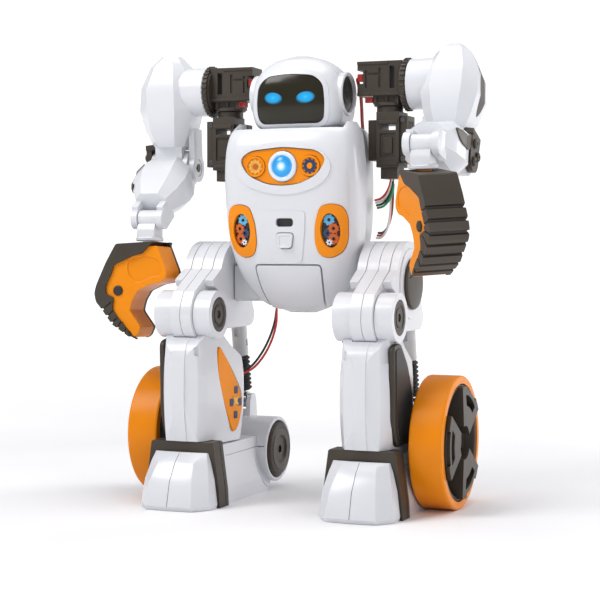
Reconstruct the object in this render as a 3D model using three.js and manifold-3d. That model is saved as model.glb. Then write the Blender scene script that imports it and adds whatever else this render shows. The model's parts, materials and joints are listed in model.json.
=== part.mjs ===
// A standing toy robot on two wheeled feet: a torso of two shells, a turning head, two posable arms with
// claw hands, and two legs with a hinged knee, a heel shock absorber and a large side wheel.
// Millimetres, +Z up. The robot faces -Y, so its own left side is +X.
import * as THREE from 'three';
import { mergeVertices } from 'three/addons/utils/BufferGeometryUtils.js';
import Module from 'manifold-3d';

const wasm = await Module();
wasm.setup();

// ---- Driving dimensions ------------------------------------------------------------------------
const GAP = 0.3; // between touching pieces
const WALL = 2.4; // of the torso's shells
const ROUND = 28; // sides of a large round piece
const SMALL = 14; // sides of a small round piece

const SPLIT_Y = -6; // plane where the torso's front and back shells meet
const CHEST = { lampZ: 192, lampR: 8.6, buttonX: 16.5, buttonR: 5.8 };
const NECK = { r: 13, z: 206, headZ: 214.6 };

const SHOULDER = { yawX: 50, y: 9, yawZ: 226.6, axisZ: 239, discX: 62.6, discR: 15.2, armX: 62.9 };
const ARM = { shellX: 25.3, elbowZ: -45, elbowY: 2, wristY: 5, wristZ: -48, handDrop: 17.7 };
const HAND = { palmY: -10, backY: 9, flankY: -11.4, shellY: 11.4, neckX: 6 };

const LEG_X = 54; // middle of each leg
const HIP = { z: 126, r: 24, bossR: 11 };
const KNEE = { y: -36, z: 108.5, r: 13.6, lobeHalf: 6.8, forkHalf: 17.3 };
const LEVER = { y: 28, z: 106 }; // upper end of the shock absorber
const LUG = { y: 37, z: 53 }; // its lower end
const WHEEL = { y: 0, r: 37.5, inner: 22.4, width: 19 };
const DRUM = { y: 33, z: 24, r: 19.5, inner: -24 };

// Rest pose of each arm, in degrees: shoulder yaw about Z, shoulder pitch, elbow and wrist about X, and the
// turn of the hand about its own axis.
const POSE = {
  left: { yaw: 1, pitch: -21, elbow: -81, wrist: 107, turn: -48 },
  right: { yaw: -3, pitch: 4, elbow: -60, wrist: 54, turn: 0 },
};

// ---- Materials -----------------------------------------------------------------------------------
const plastic = (color, roughness = 0.35) => new THREE.MeshStandardMaterial({ color, roughness, metalness: 0 });
const WHITE = plastic(0xe9eaee, 0.22);
const GREY = plastic(0xc6c7c6, 0.45);
const TAUPE = plastic(0x4a443d, 0.45);
const ORANGE = plastic(0xf28c0f, 0.38);
const BLACK = plastic(0x17181a, 0.3);
const VISOR = plastic(0x14130c, 0.08);
const LAMP = plastic(0x39b9ea, 0.2);
const BOARD = plastic(0x1f6b3a, 0.5);
const CELL = plastic(0x9a9ca0, 0.4);
const WIRE = plastic(0xb3322c, 0.5);

// ---- Solids --------------------------------------------------------------------------------------
const rad = (degrees) => (degrees * Math.PI) / 180;

function solid(geometry) {
  const bare = geometry.index ? geometry.toNonIndexed() : geometry.clone();
  for (const name of Object.keys(bare.attributes)) {
    if (name !== 'position') bare.deleteAttribute(name);
  }
  const merged = mergeVertices(bare, 1e-4);
  const vertProperties = merged.attributes.position.array;
  const triVerts = new Uint32Array(merged.index.array);
  const made = new wasm.Manifold(new wasm.Mesh({ numProp: 3, vertProperties, triVerts }));
  if (made.volume() > 0) return made;
  for (let i = 0; i < triVerts.length; i += 3) {
    [triVerts[i + 1], triVerts[i + 2]] = [triVerts[i + 2], triVerts[i + 1]];
  }
  return new wasm.Manifold(new wasm.Mesh({ numProp: 3, vertProperties, triVerts }));
}

function geometryOf(manifold) {
  const { vertProperties, triVerts } = manifold.getMesh();
  const geometry = new THREE.BufferGeometry();
  geometry.setAttribute('position', new THREE.BufferAttribute(new Float32Array(vertProperties), 3));
  geometry.setIndex(new THREE.BufferAttribute(new Uint32Array(triVerts), 1));
  geometry.computeVertexNormals();
  return geometry;
}

const union = (first, ...rest) => rest.reduce((sum, next) => sum.add(next), first);
const cut = (first, ...rest) => rest.reduce((sum, next) => sum.subtract(next), first);

// Turns local x, y, z into the two profile axes and the extrusion axis of a slab.
const SLAB_AXES = {
  x: new THREE.Matrix4().set(0, 0, 1, 0, 1, 0, 0, 0, 0, 1, 0, 0, 0, 0, 0, 1),
  y: new THREE.Matrix4().set(1, 0, 0, 0, 0, 0, -1, 0, 0, 1, 0, 0, 0, 0, 0, 1),
  z: new THREE.Matrix4(),
};

// A profile of [u, v] points pushed along an axis. The profile is (y, z), (x, z) or (x, y).
function slab(axis, profile, from, to) {
  const shape = profile instanceof THREE.Shape
    ? profile
    : new THREE.Shape(profile.map(([u, v]) => new THREE.Vector2(u, v)));
  const options = { depth: to - from, bevelEnabled: false, curveSegments: 8 };
  const geometry = new THREE.ExtrudeGeometry(shape, options);
  geometry.translate(0, 0, axis === 'y' ? -to : from);
  return solid(geometry.applyMatrix4(SLAB_AXES[axis]));
}

function box(x0, x1, y0, y1, z0, z1) {
  const geometry = new THREE.BoxGeometry(x1 - x0, y1 - y0, z1 - z0);
  return solid(geometry.translate((x0 + x1) / 2, (y0 + y1) / 2, (z0 + z1) / 2));
}

// A round bar along an axis from one station to the other, at (u, v) in the slab's profile plane.
function bar(axis, r, from, to, u, v, sides = SMALL, rTo = r) {
  const geometry = new THREE.CylinderGeometry(rTo, r, to - from, sides);
  geometry.translate(0, (from + to) / 2, 0);
  if (axis === 'x') geometry.rotateZ(-Math.PI / 2).translate(0, u, v);
  if (axis === 'y') geometry.translate(u, 0, v);
  if (axis === 'z') geometry.rotateX(Math.PI / 2).translate(u, v, 0);
  return solid(geometry);
}

// A turned piece: [radius, station] points that start and end on the axis, or close on themselves.
function turned(axis, profile, u, v, sides = ROUND) {
  const geometry = new THREE.LatheGeometry(profile.map(([r, s]) => new THREE.Vector2(r, s)), sides);
  if (axis === 'x') geometry.rotateZ(-Math.PI / 2).translate(0, u, v);
  if (axis === 'y') geometry.translate(u, 0, v);
  return solid(geometry);
}

// A closed body through rings that hold the same number of [x, y, z] points.
function loft(rings) {
  const count = rings[0].length;
  const middle = (ring) => [0, 1, 2].map((k) => ring.reduce((sum, p) => sum + p[k], 0) / count);
  const points = [...rings.flat(), middle(rings[0]), middle(rings.at(-1))];
  const first = rings.length * count;
  const faces = [];
  for (let i = 0; i < count; i += 1) {
    const j = (i + 1) % count;
    faces.push(first, j, i);
    for (let k = 0; k + 1 < rings.length; k += 1) {
      const [a, b, c, d] = [k * count + i, k * count + j, (k + 1) * count + i, (k + 1) * count + j];
      faces.push(a, b, d, a, d, c);
    }
    faces.push(first + 1, (rings.length - 1) * count + i, (rings.length - 1) * count + j);
  }
  const geometry = new THREE.BufferGeometry();
  geometry.setAttribute('position', new THREE.BufferAttribute(new Float32Array(points.flat()), 3));
  return solid(geometry.setIndex(faces));
}

// A level of an egg-like body: a superellipse whose front and back depths differ.
function eggRing([z, half, front, back, power], sides) {
  return Array.from({ length: sides }, (_, i) => {
    const turn = (2 * Math.PI * i) / sides;
    const [c, s] = [Math.cos(turn), Math.sin(turn)];
    const x = half * Math.sign(c) * Math.abs(c) ** (2 / power);
    const y = (s < 0 ? front : back) * Math.abs(s) ** (2 / power);
    return [x, y, z];
  });
}

// The levels of an egg-like body between the given ones, on a smooth curve through them, grown by an offset.
function egg(levels, grow = 0, sides = 28, steps = 9) {
  const low = levels[0][0] - grow;
  const high = levels.at(-1)[0] + grow;
  const stretch = (z) => low + ((z - levels[0][0]) / (levels.at(-1)[0] - levels[0][0])) * (high - low);
  const curves = [1, 2, 3, 4].map((k) => {
    const points = levels.map((level) => new THREE.Vector3(level[0], level[k], 0));
    return new THREE.CatmullRomCurve3(points, false, 'centripetal');
  });
  const rings = Array.from({ length: steps + 1 }, (_, i) => {
    const [half, front, back, power] = curves.map((curve) => curve.getPoint(i / steps));
    const level = [stretch(half.x), half.y + grow, front.y - grow, back.y + grow, power.y];
    return eggRing(level, sides);
  });
  return loft(rings);
}

// An eight-sided ring with cut corners, level at z, around (cx, cy).
function facetRing(z, halfX, halfY, cx = 0, cy = 0, corner = 0.45) {
  const [ix, iy] = [halfX * (1 - corner), halfY * (1 - corner)];
  const right = [[ix, -halfY], [halfX, -iy], [halfX, iy], [ix, halfY]];
  const left = right.map(([x, y]) => [-x, -y]);
  return [...right, ...left].map(([x, y]) => [cx + x, cy + y, z]);
}

// A closed outline with rounded corners, as a Shape.
function roundedShape(points, radius) {
  const shape = new THREE.Shape();
  points.forEach((point, i) => {
    const corner = new THREE.Vector2(...point);
    const before = new THREE.Vector2(...points.at(i - 1)).sub(corner);
    const after = new THREE.Vector2(...points[(i + 1) % points.length]).sub(corner);
    const reach = Math.min(radius, before.length() * 0.45, after.length() * 0.45);
    const start = corner.clone().add(before.setLength(reach));
    const end = corner.clone().add(after.setLength(reach));
    if (i) shape.lineTo(start.x, start.y);
    else shape.moveTo(start.x, start.y);
    shape.quadraticCurveTo(corner.x, corner.y, end.x, end.y);
  });
  shape.closePath();
  return shape;
}

const arc = (u, v, r, from, to, steps) => Array.from({ length: steps + 1 }, (_, i) => {
  const turn = rad(from + ((to - from) * i) / steps);
  return [u + r * Math.cos(turn), v + r * Math.sin(turn)];
});

// The outline's points moved outwards by an amount, for a clearance around an inlay.
function grown(points, amount) {
  const centre = points.reduce(([a, b], [u, v]) => [a + u / points.length, b + v / points.length], [0, 0]);
  return points.map(([u, v]) => {
    const [du, dv] = [u - centre[0], v - centre[1]];
    const share = amount / Math.hypot(du, dv);
    return [u + du * share, v + dv * share];
  });
}

// ---- Scene graph ---------------------------------------------------------------------------------
function add(parent, name, manifold, material) {
  const mesh = new THREE.Mesh(geometryOf(manifold), material);
  mesh.name = name;
  parent.add(mesh);
  return mesh;
}

function frameAt(parent, x, y, z) {
  const group = new THREE.Group();
  group.position.set(x, y, z);
  parent.add(group);
  return group;
}

// ---- Torso ---------------------------------------------------------------------------------------
// Each level: z, half width, front y, back y, superellipse power.
const TORSO_LEVELS = [
  [109, 12, -3, 12, 2.1], [112.5, 20.5, -9, 17, 2.4], [118, 27, -14, 22, 2.8], [126, 32.6, -19, 26, 3.2],
  [137, 37, -23.5, 28.5, 3.8], [152, 40.2, -26.5, 30, 4.4], [170, 41.2, -28.5, 30, 4.8],
  [190, 41, -31, 30, 5], [204, 40, -30, 30, 5], [212, 38.6, -27, 29, 4.6], [217.5, 35.5, -22, 26, 4],
];
const torsoBody = (grow) => egg(TORSO_LEVELS, grow);
const narrowed = TORSO_LEVELS.map(([z, half, ...rest]) => [z, half - 4, ...rest]);

// A plate let into the torso's surface: the profile (x, z) between two offsets of the torso's skin.
const FRONT = [-45, SPLIT_Y];
function torsoInlay(profile, below, above, [from, to] = FRONT, holes = []) {
  const plate = slab('y', profile, from, to).intersect(torsoBody(above));
  return cut(plate, torsoBody(below), ...holes);
}

const HATCH = [[-20, 136.5], [20, 136.5], [19, 124], [15, 104], [-15, 104], [-19, 124]];
const mirrored = (points) => points.map(([u, v]) => [-u, v]);
const TRIM_HALF = [[10, 182.5], [21, 187.5], [26, 196], [20, 200.5]];
const TRIM = [[0, 181.5], ...TRIM_HALF, [0, 202.5], ...mirrored(TRIM_HALF).reverse()];
const POD = [[21.5, 169.5], [28, 171], [34.6, 169.5], [36.6, 163], [36, 151], [33.2, 144], [26.6, 140.5],
  [20, 142], [17.8, 149], [18.4, 160]];
const BUTTON = [[-5.2, 154.5], [5.2, 154.5], [3.8, 146], [-3.8, 146]];

function buildTorso(root) {
  const lampWell = bar('y', CHEST.lampR + GAP, -45, -20, 0, CHEST.lampZ);
  const wellAt = (x) => bar('y', CHEST.buttonR + GAP, -45, -20, x, CHEST.lampZ);
  const buttonWells = [wellAt(-CHEST.buttonX), wellAt(CHEST.buttonX)];
  const neckHole = bar('z', 22 + GAP, 200, 225, 0, 0, ROUND);
  const headRoom = box(-33, 33, -45, 45, 213.6, 230);

  // Front shell: a thick front wall carries the trims, and the sides are thin.
  const thickFront = TORSO_LEVELS.map(([z, half, front, ...rest]) => (
    [z, half, Math.min(front + 6, -1), ...rest]
  ));
  const inner = egg(thickFront, -WALL);
  const front = torsoBody(0).intersect(box(-60, 60, -45, SPLIT_Y, 100, 225));
  const wells = [
    torsoInlay(grown(HATCH, GAP), -2.5, 6),
    torsoInlay(grown(TRIM, GAP), -3.2, 6),
    torsoInlay(grown(POD, GAP), -2.3, 6),
    torsoInlay(mirrored(grown(POD, GAP)).reverse(), -2.3, 6),
    slab('y', roundedShape(grown(BUTTON, GAP), 2), -45, -20),
  ];
  add(root, 'torso_front_shell', cut(front, inner, lampWell, ...buttonWells, neckHole, headRoom, ...wells), WHITE);

  // Back shell, narrower, with the hip bosses.
  const backBody = egg(narrowed, 0).intersect(box(-60, 60, SPLIT_Y + GAP, 45, 100, 225));
  const backInner = egg(narrowed, -WALL).intersect(box(-60, 60, -45, 27.2, 100, 225));
  const doorWell = box(-27 - GAP, 27 + GAP, 24, 40, 134 - GAP, 192 + GAP);
  const backHollow = cut(backBody, backInner, neckHole, headRoom);
  const bosses = bar('x', HIP.bossR, -LEG_X + 13.2, LEG_X - 13.2, 0, HIP.z);
  const bossTrim = cut(bosses, egg(narrowed, -WALL), box(-60, 60, -45, SPLIT_Y + GAP, 100, 150));
  add(root, 'torso_back_shell', cut(union(backHollow, bossTrim), doorWell), GREY);

  // Trims, lamp and window on the front.
  add(root, 'chest_trim', torsoInlay(TRIM, -2.9, -0.9, FRONT, [lampWell, ...buttonWells]), ORANGE);
  const lamp = [[0, 33], [5, 32.4], [5.8, 31.4], [7.6, 31.4], [CHEST.lampR, 30.2], [CHEST.lampR, 25], [0, 25]];
  add(root, 'chest_lamp', turned('y', lamp.map(([r, s]) => [r, -s]).reverse(), 0, CHEST.lampZ, 32), LAMP);
  add(root, 'side_pod_left', torsoInlay(POD, -2, 0.7), ORANGE);
  add(root, 'side_pod_right', torsoInlay(mirrored(POD).reverse(), -2, 0.7), ORANGE);
  add(root, 'belly_hatch', torsoInlay(HATCH, -2.2, 0.3), WHITE);

  // Push buttons, which travel back into their wells.
  for (const [name, side] of [['chest_button_left', 1], ['chest_button_right', -1]]) {
    const cap = bar('y', CHEST.buttonR, -31.4, -26.5, side * CHEST.buttonX, CHEST.lampZ);
    add(root, name, cap, ORANGE);
  }
  add(root, 'power_button', slab('y', roundedShape(BUTTON, 2), -28.2, -24), WHITE);

  // Back: battery door, battery pack and main board.
  add(root, 'battery_door', box(-27, 27, 27.4, 30.6, 134, 192), GREY);
  const cells = [-21.6, -7.2, 7.2, 21.6].map((x) => bar('z', 7.1, 141.5, 191.5, x, 16.5, 12));
  add(root, 'battery_pack', union(box(-26, 26, 12, 15, 141, 192), ...cells), CELL);
  const boardHoles = [-24, 24].flatMap((x) => [145, 197].map((z) => bar('y', 1.6, -5, 5, x, z, 12)));
  add(root, 'main_board', cut(box(-28, 28, -1.6, 0, 141, 201), ...boardHoles), BOARD);

  // Collar ring that carries the neck.
  const collar = cut(bar('z', 22, 208, 213.4, 0, 0, ROUND), bar('z', NECK.r + 0.4, 200, 220, 0, 0, ROUND));
  add(root, 'neck_collar', collar, GREY);
}

// ---- Head ----------------------------------------------------------------------------------------
const HEAD_LEVELS = [
  [214.6, 23.5, -17, 20.5, 3], [216.5, 25.6, -18.8, 22.5, 3.2], [222, 27.4, -20.4, 24, 3.4],
  [231, 28, -21, 25, 3.4], [240, 26.6, -20.4, 24.4, 3.2], [247.5, 22.6, -18, 21.5, 2.9],
  [253, 15.5, -13, 15.5, 2.6], [256.2, 5, -4.5, 5, 2.2],
];
const VISOR_HALF = [[19.5, 216.8], [20.6, 228], [19.4, 238.5], [14, 243.4]];
const VISOR_OUTLINE = [...VISOR_HALF, [0, 244.6], ...mirrored(VISOR_HALF).reverse()];

function buildHead(root) {
  const skin = (grow) => egg(HEAD_LEVELS, grow);
  const visorAt = (outline, below, above) => {
    const plate = slab('y', roundedShape(outline, 4), -40, -6).intersect(skin(above));
    return cut(plate, skin(below));
  };
  const earWells = [-1, 1].map((side) => bar('x', 10.5, side > 0 ? 26.3 : -40, side > 0 ? 40 : -26.3, 0, 234));
  const earRims = [-1, 1].map((side) => bar('x', 12.4, side > 0 ? 20 : -28.6, side > 0 ? 28.6 : -20, 0, 234, ROUND));
  const neck = bar('z', NECK.r, NECK.z, NECK.headZ + 4, 0, 0, ROUND);
  const shell = cut(union(skin(0), neck, ...earRims), ...earWells, visorAt(grown(VISOR_OUTLINE, GAP), -2.2, 6));
  add(root, 'head_shell', shell, WHITE);
  add(root, 'face_visor', visorAt(VISOR_OUTLINE, -1.9, 0.2), VISOR);
}

// ---- Arms ----------------------------------------------------------------------------------------
function shoulderColumn() {
  const { y } = SHOULDER;
  const body = box(44.5, 58, y - 8, y + 8, 192, 223.4);
  const rails = union(box(39, 45, y - 6, y + 7, 196, 219), box(57, 62.5, y - 6.5, y + 7, 194, 221));
  const foot = box(46.5, 56.5, y - 6, y + 6, 185.5, 192.5);
  const disc = bar('z', 7.5, 223, SHOULDER.yawZ, SHOULDER.yawX, y);
  const slot = box(46.6, 56, y - 12, y + 12, 213, 216.2);
  const panel = union(box(47, 55.5, y - 12, y - 7.2, 199, 201), box(47, 55.5, y - 12, y - 7.2, 208.5, 210));
  return cut(union(body, rails, foot, disc), slot, panel);
}

function shoulderMotor() {
  const body = box(-17, 9.6, -8, 8, 6, 25.6);
  const axis = SHOULDER.axisZ - SHOULDER.yawZ;
  const output = union(
    bar('x', 13, 9, SHOULDER.discX - SHOULDER.yawX - 2.4, 0, axis, ROUND),
    bar('x', SHOULDER.discR, SHOULDER.discX - SHOULDER.yawX - 2.6, SHOULDER.discX - SHOULDER.yawX, 0, axis, ROUND),
  );
  const ledge = box(-8, 7, -6.5, 6.5, 1.2, 7.4);
  const saddle = bar('z', 9, GAP, 2, 0, 0);
  const slot = box(2.2, 5.2, -12, 12, 10, 22.6);
  const bars = union(
    box(-12.5, -10.5, -12, -7.1, 11, 19),
    box(-4.6, -2.6, -12, -7.1, 11, 21),
    box(-11, -4, -12, -7.1, 15.5, 17),
  );
  const pocket = box(-18, -13.6, -12, 4, 13, 20.5);
  return cut(union(body, output, ledge, saddle), slot, bars, pocket);
}

function upperArm() {
  const socket = bar('x', 14.3, 0, 16, 0, 0, ROUND);
  const { shellX: x, elbowY: y, elbowZ: z } = ARM;
  const shell = loft([
    facetRing(21.5, 5, 6.5, x - 1), facetRing(15.5, 10.5, 12, x - 0.5), facetRing(3, 15.6, 17, x),
    facetRing(-10, 16.6, 18, x), facetRing(-23, 13.6, 15.4, x), facetRing(-32, 9.6, 10.5, x),
  ].reverse());
  const cheek = union(bar('x', 8.4, x - 15.6, x - 12, y, z, SMALL), box(x - 15.6, x - 12, y - 6, y + 6, z, -22));
  return cut(union(socket, shell, cheek), bar('x', 2.7, x - 20, x - 10, y, z, 12));
}

// Dark half of the elbow fork: a web under the upper arm, an outer cheek and the pin.
function elbowLink() {
  const { shellX: x, elbowY: y, elbowZ: z } = ARM;
  const web = box(x - 11.6, x + 15.6, y - 8, y + 8, -33.9, -32 - GAP);
  const cheek = union(bar('x', 8.6, x + 12, x + 15.6, y, z), box(x + 12, x + 15.6, y - 7.4, y + 8, z, -32.3));
  const bolts = [[-3.6, 6.5], [3.6, 1.5]].map(([dy, dz]) => bar('x', 2.5, x + 15, x + 17.2, y + dy, z + dz, 12));
  return union(web, cheek, ...bolts, bar('x', 2.4, x - 15.6, x + 14, y, z, 12));
}

function forearm() {
  const knuckle = bar('x', 9.2, -11.7, 11.7, 0, 0);
  const shell = loft([
    facetRing(4, 9.5, 8), facetRing(-2, 11.4, 10.6), facetRing(-9.2, 11.7, 12.4), facetRing(-9.4, 14.4, 12.6),
    facetRing(-17, 16.4, 14.4), facetRing(-25, 16.6, 13.6), facetRing(-33, 14, 11), facetRing(-41, 9.6, 8),
  ].reverse());
  const fork = [[-9.8, -6], [6, 9.8]].map(([from, to]) => union(
    box(from, to, -3, ARM.wristY + 5.6, ARM.wristZ, -36),
    bar('x', 5.6, from, to, ARM.wristY, ARM.wristZ),
  ));
  return cut(union(knuckle, shell, ...fork), bar('x', 2.7, -20, 20, 0, 0, 12));
}

// Hinged block between the forearm's fork and the hand's turning neck.
function wristLink() {
  return union(bar('x', 5, -5.7, 5.7, 0, 0), bar('z', 4.2, -12.6, 0, 0, 0), bar('z', 6.4, -13.2, -11.4, 0, 0));
}

// Outline of the claw in its own plane: x grows away from the robot, z is along the hand.
const CLAW = [[-2.9, 2.1], [-3.8, 4.2], [22.6, 2.7], [28.9, -8.4], [34.8, -21.4], [36, -26.4], [34.8, -31.4],
  [31.4, -35.2], [24.3, -44.4], [13.8, -51.1], [11.7, -52.4], [8.8, -50.7], [6.5, -45.7], [13.8, -36], [12.2, -29.8],
  [8.8, -24.3], [0, -20.5], [-5.4, -19.7], [-8.8, -16.8], [-9.2, -13]];
const CORE = [[-3.2, 1.6], [21.2, 0.4], [26.6, -9.4], [32.4, -21.8], [33.4, -26.4], [32.4, -30.4], [29.6, -33.6],
  [22.7, -42.4], [12.8, -48.6], [11.6, -52.2], [8.8, -50.7], [6.5, -45.7], [13.8, -36], [12.2, -29.8],
  [8.8, -24.3], [0, -20.5], [-5.4, -19.7], [-8.8, -16.8], [-9.2, -13]];
const FLANK = [[-3.4, 3.8], [22.6, 2.7], [28.9, -8.4], [34.8, -21.4], [36, -26.4], [34.8, -31.4], [31.4, -35.2],
  [24.3, -44.4], [13.8, -51.1], [12.9, -49.7], [16.8, -44.4], [20.9, -40.2], [24.4, -35.4], [23.6, -28.6],
  [28.6, -26.6], [28.8, -22], [25.3, -14.8], [23.6, -9.6], [12.1, -4.6], [5.9, -3]];

function handCore() {
  const plate = slab('y', CORE, HAND.palmY, HAND.backY);
  const neck = bar('z', 4.2, -4, 4.2, HAND.neckX, 0);
  const hole = bar('y', 2.3, -20, 20, 21.2, -24.6, 16);
  return cut(union(plate, neck), hole);
}

function handCover() {
  const band = slab('y', FLANK, HAND.flankY, HAND.backY + GAP);
  const back = slab('y', CLAW, HAND.backY + GAP, HAND.shellY);
  const ribs = [0.1, 0.32, 0.54, 0.76].map((share) => {
    const [x, z] = [34.6 - 20.4 * share, -32 - 18.6 * share];
    return box(-1.4, 1.6, HAND.flankY, HAND.shellY, -1.3, 1.3).rotate([0, 42, 0]).translate([x, 0, z]);
  });
  const room = slab('y', grown(CORE, GAP), HAND.palmY - GAP, HAND.backY + GAP);
  const neckRoom = bar('z', 4.2 + GAP + 0.2, -6, 9, HAND.neckX, 0);
  const hole = bar('y', 2.3, -20, 20, 21.2, -24.6, 16);
  const over = slab('y', grown(CORE, GAP), HAND.flankY - 1, HAND.backY + GAP).subtract(slab('y', FLANK, -30, 30));
  return cut(union(band, back, ...ribs), room, over, neckRoom, hole);
}

function buildArm(root, sideName, side) {
  const pose = POSE[sideName];
  const arm = frameAt(root, 0, 0, 0);
  arm.scale.x = side;
  add(arm, `shoulder_column_${sideName}`, shoulderColumn(), TAUPE);

  const yaw = frameAt(arm, SHOULDER.yawX, SHOULDER.y, SHOULDER.yawZ);
  yaw.rotation.z = rad(pose.yaw);
  add(yaw, `shoulder_motor_${sideName}`, shoulderMotor(), TAUPE);

  const upper = frameAt(yaw, SHOULDER.armX - SHOULDER.yawX, 0, SHOULDER.axisZ - SHOULDER.yawZ);
  upper.rotation.x = rad(pose.pitch);
  add(upper, `upper_arm_${sideName}`, upperArm(), WHITE);
  add(upper, `elbow_link_${sideName}`, elbowLink(), TAUPE);

  const elbow = frameAt(upper, ARM.shellX, ARM.elbowY, ARM.elbowZ);
  elbow.rotation.x = rad(pose.elbow);
  add(elbow, `forearm_${sideName}`, forearm(), WHITE);

  const wrist = frameAt(elbow, 0, ARM.wristY, ARM.wristZ);
  wrist.rotation.x = rad(pose.wrist);
  add(wrist, `wrist_link_${sideName}`, wristLink(), TAUPE);
  const hand = frameAt(wrist, 0, 0, -ARM.handDrop);
  hand.rotation.z = rad(pose.turn);
  const grip = frameAt(hand, -HAND.neckX, 0, 0);
  add(grip, `hand_core_${sideName}`, handCore(), ORANGE);
  add(grip, `hand_cover_${sideName}`, handCover(), TAUPE);
}

// ---- Legs ----------------------------------------------------------------------------------------
function thigh() {
  const profile = [
    ...arc(0, HIP.z, HIP.r, 20, 160, 14), [-46, 121.5],
    ...arc(KNEE.y, KNEE.z, 15.3, 150, 315, 10), [-8, 99.5], [14, 99.5],
    ...arc(LEVER.y, LEVER.z, 6.6, -110, 45, 6),
  ];
  const body = slab('x', profile, -12.4, 11.6);
  const kneeRoom = [[-20, -KNEE.lobeHalf], [KNEE.lobeHalf, 20]]
    .map(([from, to]) => bar('x', KNEE.r + 2.6, from, to, KNEE.y, KNEE.z, ROUND));
  const shinRoom = [[-20, -KNEE.lobeHalf], [KNEE.lobeHalf, 20]]
    .map(([from, to]) => slab('x', [[-50, 85], [-9, 85], [-9, 98.6], [-20, 103], [-50, 104]], from, to));
  const leverSides = [[-20, -8], [8, 20]].map(([from, to]) => box(from, to, 18, 50, 90, 130));
  const eyeRoom = box(-5.2, 5.2, 19.5, 50, 90, 118);
  const pin = bar('x', 1.7, -7, 7, LEVER.y, LEVER.z, 12);
  const hub = bar('x', 20, 11, 12.4, 0, HIP.z, ROUND);
  const kneePin = bar('x', 2.6, -KNEE.forkHalf, KNEE.forkHalf, KNEE.y, KNEE.z, 12);
  return union(cut(union(body, hub), ...kneeRoom, ...shinRoom, ...leverSides, eyeRoom), pin, kneePin);
}

function shin() {
  const plan = [[-2.6, -53], [2.6, -53], [10, -48.5], [13.6, -40], [15, -26], [14.4, -8], [9, -2],
    [-9, -2], [-14.4, -8], [-16, -26], [-14.6, -40], [-10, -48.5]];
  const sideView = [[-36, 34 + GAP], [-36, 37], [-49.5, 37], [-53, 54], [-53, 80], [-51, 91], [-45.8, 96.6],
    ...arc(KNEE.y, KNEE.z, KNEE.r, 228, -50, 14), [-19, 90], [-8, 82], [-3, 72], [-2, 56], [-4, 34 + GAP]];
  const frontView = [[-13, 34], [12, 34], [15.4, 46], [16, 66], [14.4, 84], [13.4, 96.8], [KNEE.forkHalf, 97.6],
    [KNEE.forkHalf, 124], [-KNEE.forkHalf, 124], [-KNEE.forkHalf, 97.6], [-13.4, 96.8], [-15, 84], [-16, 66], [-15.4, 46]];
  const lower = slab('z', plan, 34, 98.5);
  const drums = bar('x', KNEE.r, -KNEE.forkHalf, KNEE.forkHalf, KNEE.y, KNEE.z, ROUND);
  const body = lower.intersect(slab('x', sideView, -20, 20)).intersect(slab('y', frontView, -60, 10));
  const lobeRoom = bar('x', 15.3 + 0.7, -KNEE.lobeHalf - GAP, KNEE.lobeHalf + GAP, KNEE.y, KNEE.z, ROUND);
  const thighRoom = slab('x', [[-60, 104.5], [-36, 100], [-31, 88], [-20, 84], [0, 90], [0, 130], [-60, 130]],
    -KNEE.lobeHalf - GAP, KNEE.lobeHalf + GAP);
  const axleBore = bar('x', 3.9, 6, 20, WHEEL.y, WHEEL.r, SMALL);
  const kneePinBore = bar('x', 3, -20, 20, KNEE.y, KNEE.z, 12);
  return cut(union(body, drums), lobeRoom, thighRoom, axleBore, kneePinBore);
}

function footBody() {
  const sideView = [[-36.3, 0], [24, 0], [29, 5], [29, 33.6], [-36.3, 33.6]];
  const frontView = [[-21.3, 0], [21.3, 0], [21.3, 9], [17.6, 34], [-17.6, 34], [-21.3, 9]];
  const body = slab('x', sideView, -25, 25).intersect(slab('y', frontView, -40, 40));
  const drum = bar('x', DRUM.r, DRUM.inner, 4, DRUM.y, DRUM.z, ROUND);
  const lugSide = [[30.5, 36], [43.5, 36], [41.5, LUG.z], [39.5, LUG.z + 3.6], [34.5, LUG.z + 3.6], [32.5, LUG.z]];
  const lug = slab('x', lugSide, -6.2, 6.2);
  const eyeRoom = box(-3.4, 3.4, 25, 50, 46.6, 62);
  const lugPin = bar('x', 1.7, -5, 5, LUG.y, LUG.z, 12);
  const capRoom = bar('x', 17 + GAP, -30, DRUM.inner + 3, DRUM.y, DRUM.z, ROUND);
  return union(cut(union(body, drum, lug), eyeRoom, capRoom), lugPin);
}

function toeBumper() {
  const halfView = [[23.4, 0.2], [23, 9], [19.4, 36], [18.6, 36.8]];
  return slab('y', [...halfView, ...mirrored(halfView).reverse()], -49, -36.6);
}

// A toe of flat facets: rings level in z, each an outline from back corner to back corner.
function toeCap() {
  const back = -49 - GAP;
  const rings = [
    [0, 21.6, 14, -67], [2.5, 22.2, 14.6, -68.8], [16, 20.6, 13, -65], [26, 18.2, 11, -58], [31, 16.4, 9.4, -52],
  ].map(([z, wide, narrow, front]) => [
    [-wide, back, z], [-wide + 0.8, (back + front) / 2 + 1, z], [-narrow, front + 1, z], [0, front, z],
    [narrow, front + 1, z], [wide - 0.8, (back + front) / 2 + 1, z], [wide, back, z],
  ]);
  return loft(rings);
}

function drumCap() {
  const profile = [[0, -26.2], [2.6, -26.2], [3.4, -25.4], [7.6, -25.4], [8.4, -26.6], [13.6, -26.6], [15, -25.2],
    [17, -25.2], [17, -21.2], [0, -21.2]];
  return turned('x', profile, DRUM.y, DRUM.z);
}

// Shock absorber, drawn upright from the lug and leaned onto the lever by its group.
const SHOCK = { length: Math.hypot(LEVER.y - LUG.y, LEVER.z - LUG.z), rodTop: 40, bellows: [6.2, 27.4], sleeve: 28 };
const upright = (profile, sides = SMALL) => turned('y', profile, 0, 0, sides).rotate([90, 0, 0]);

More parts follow.
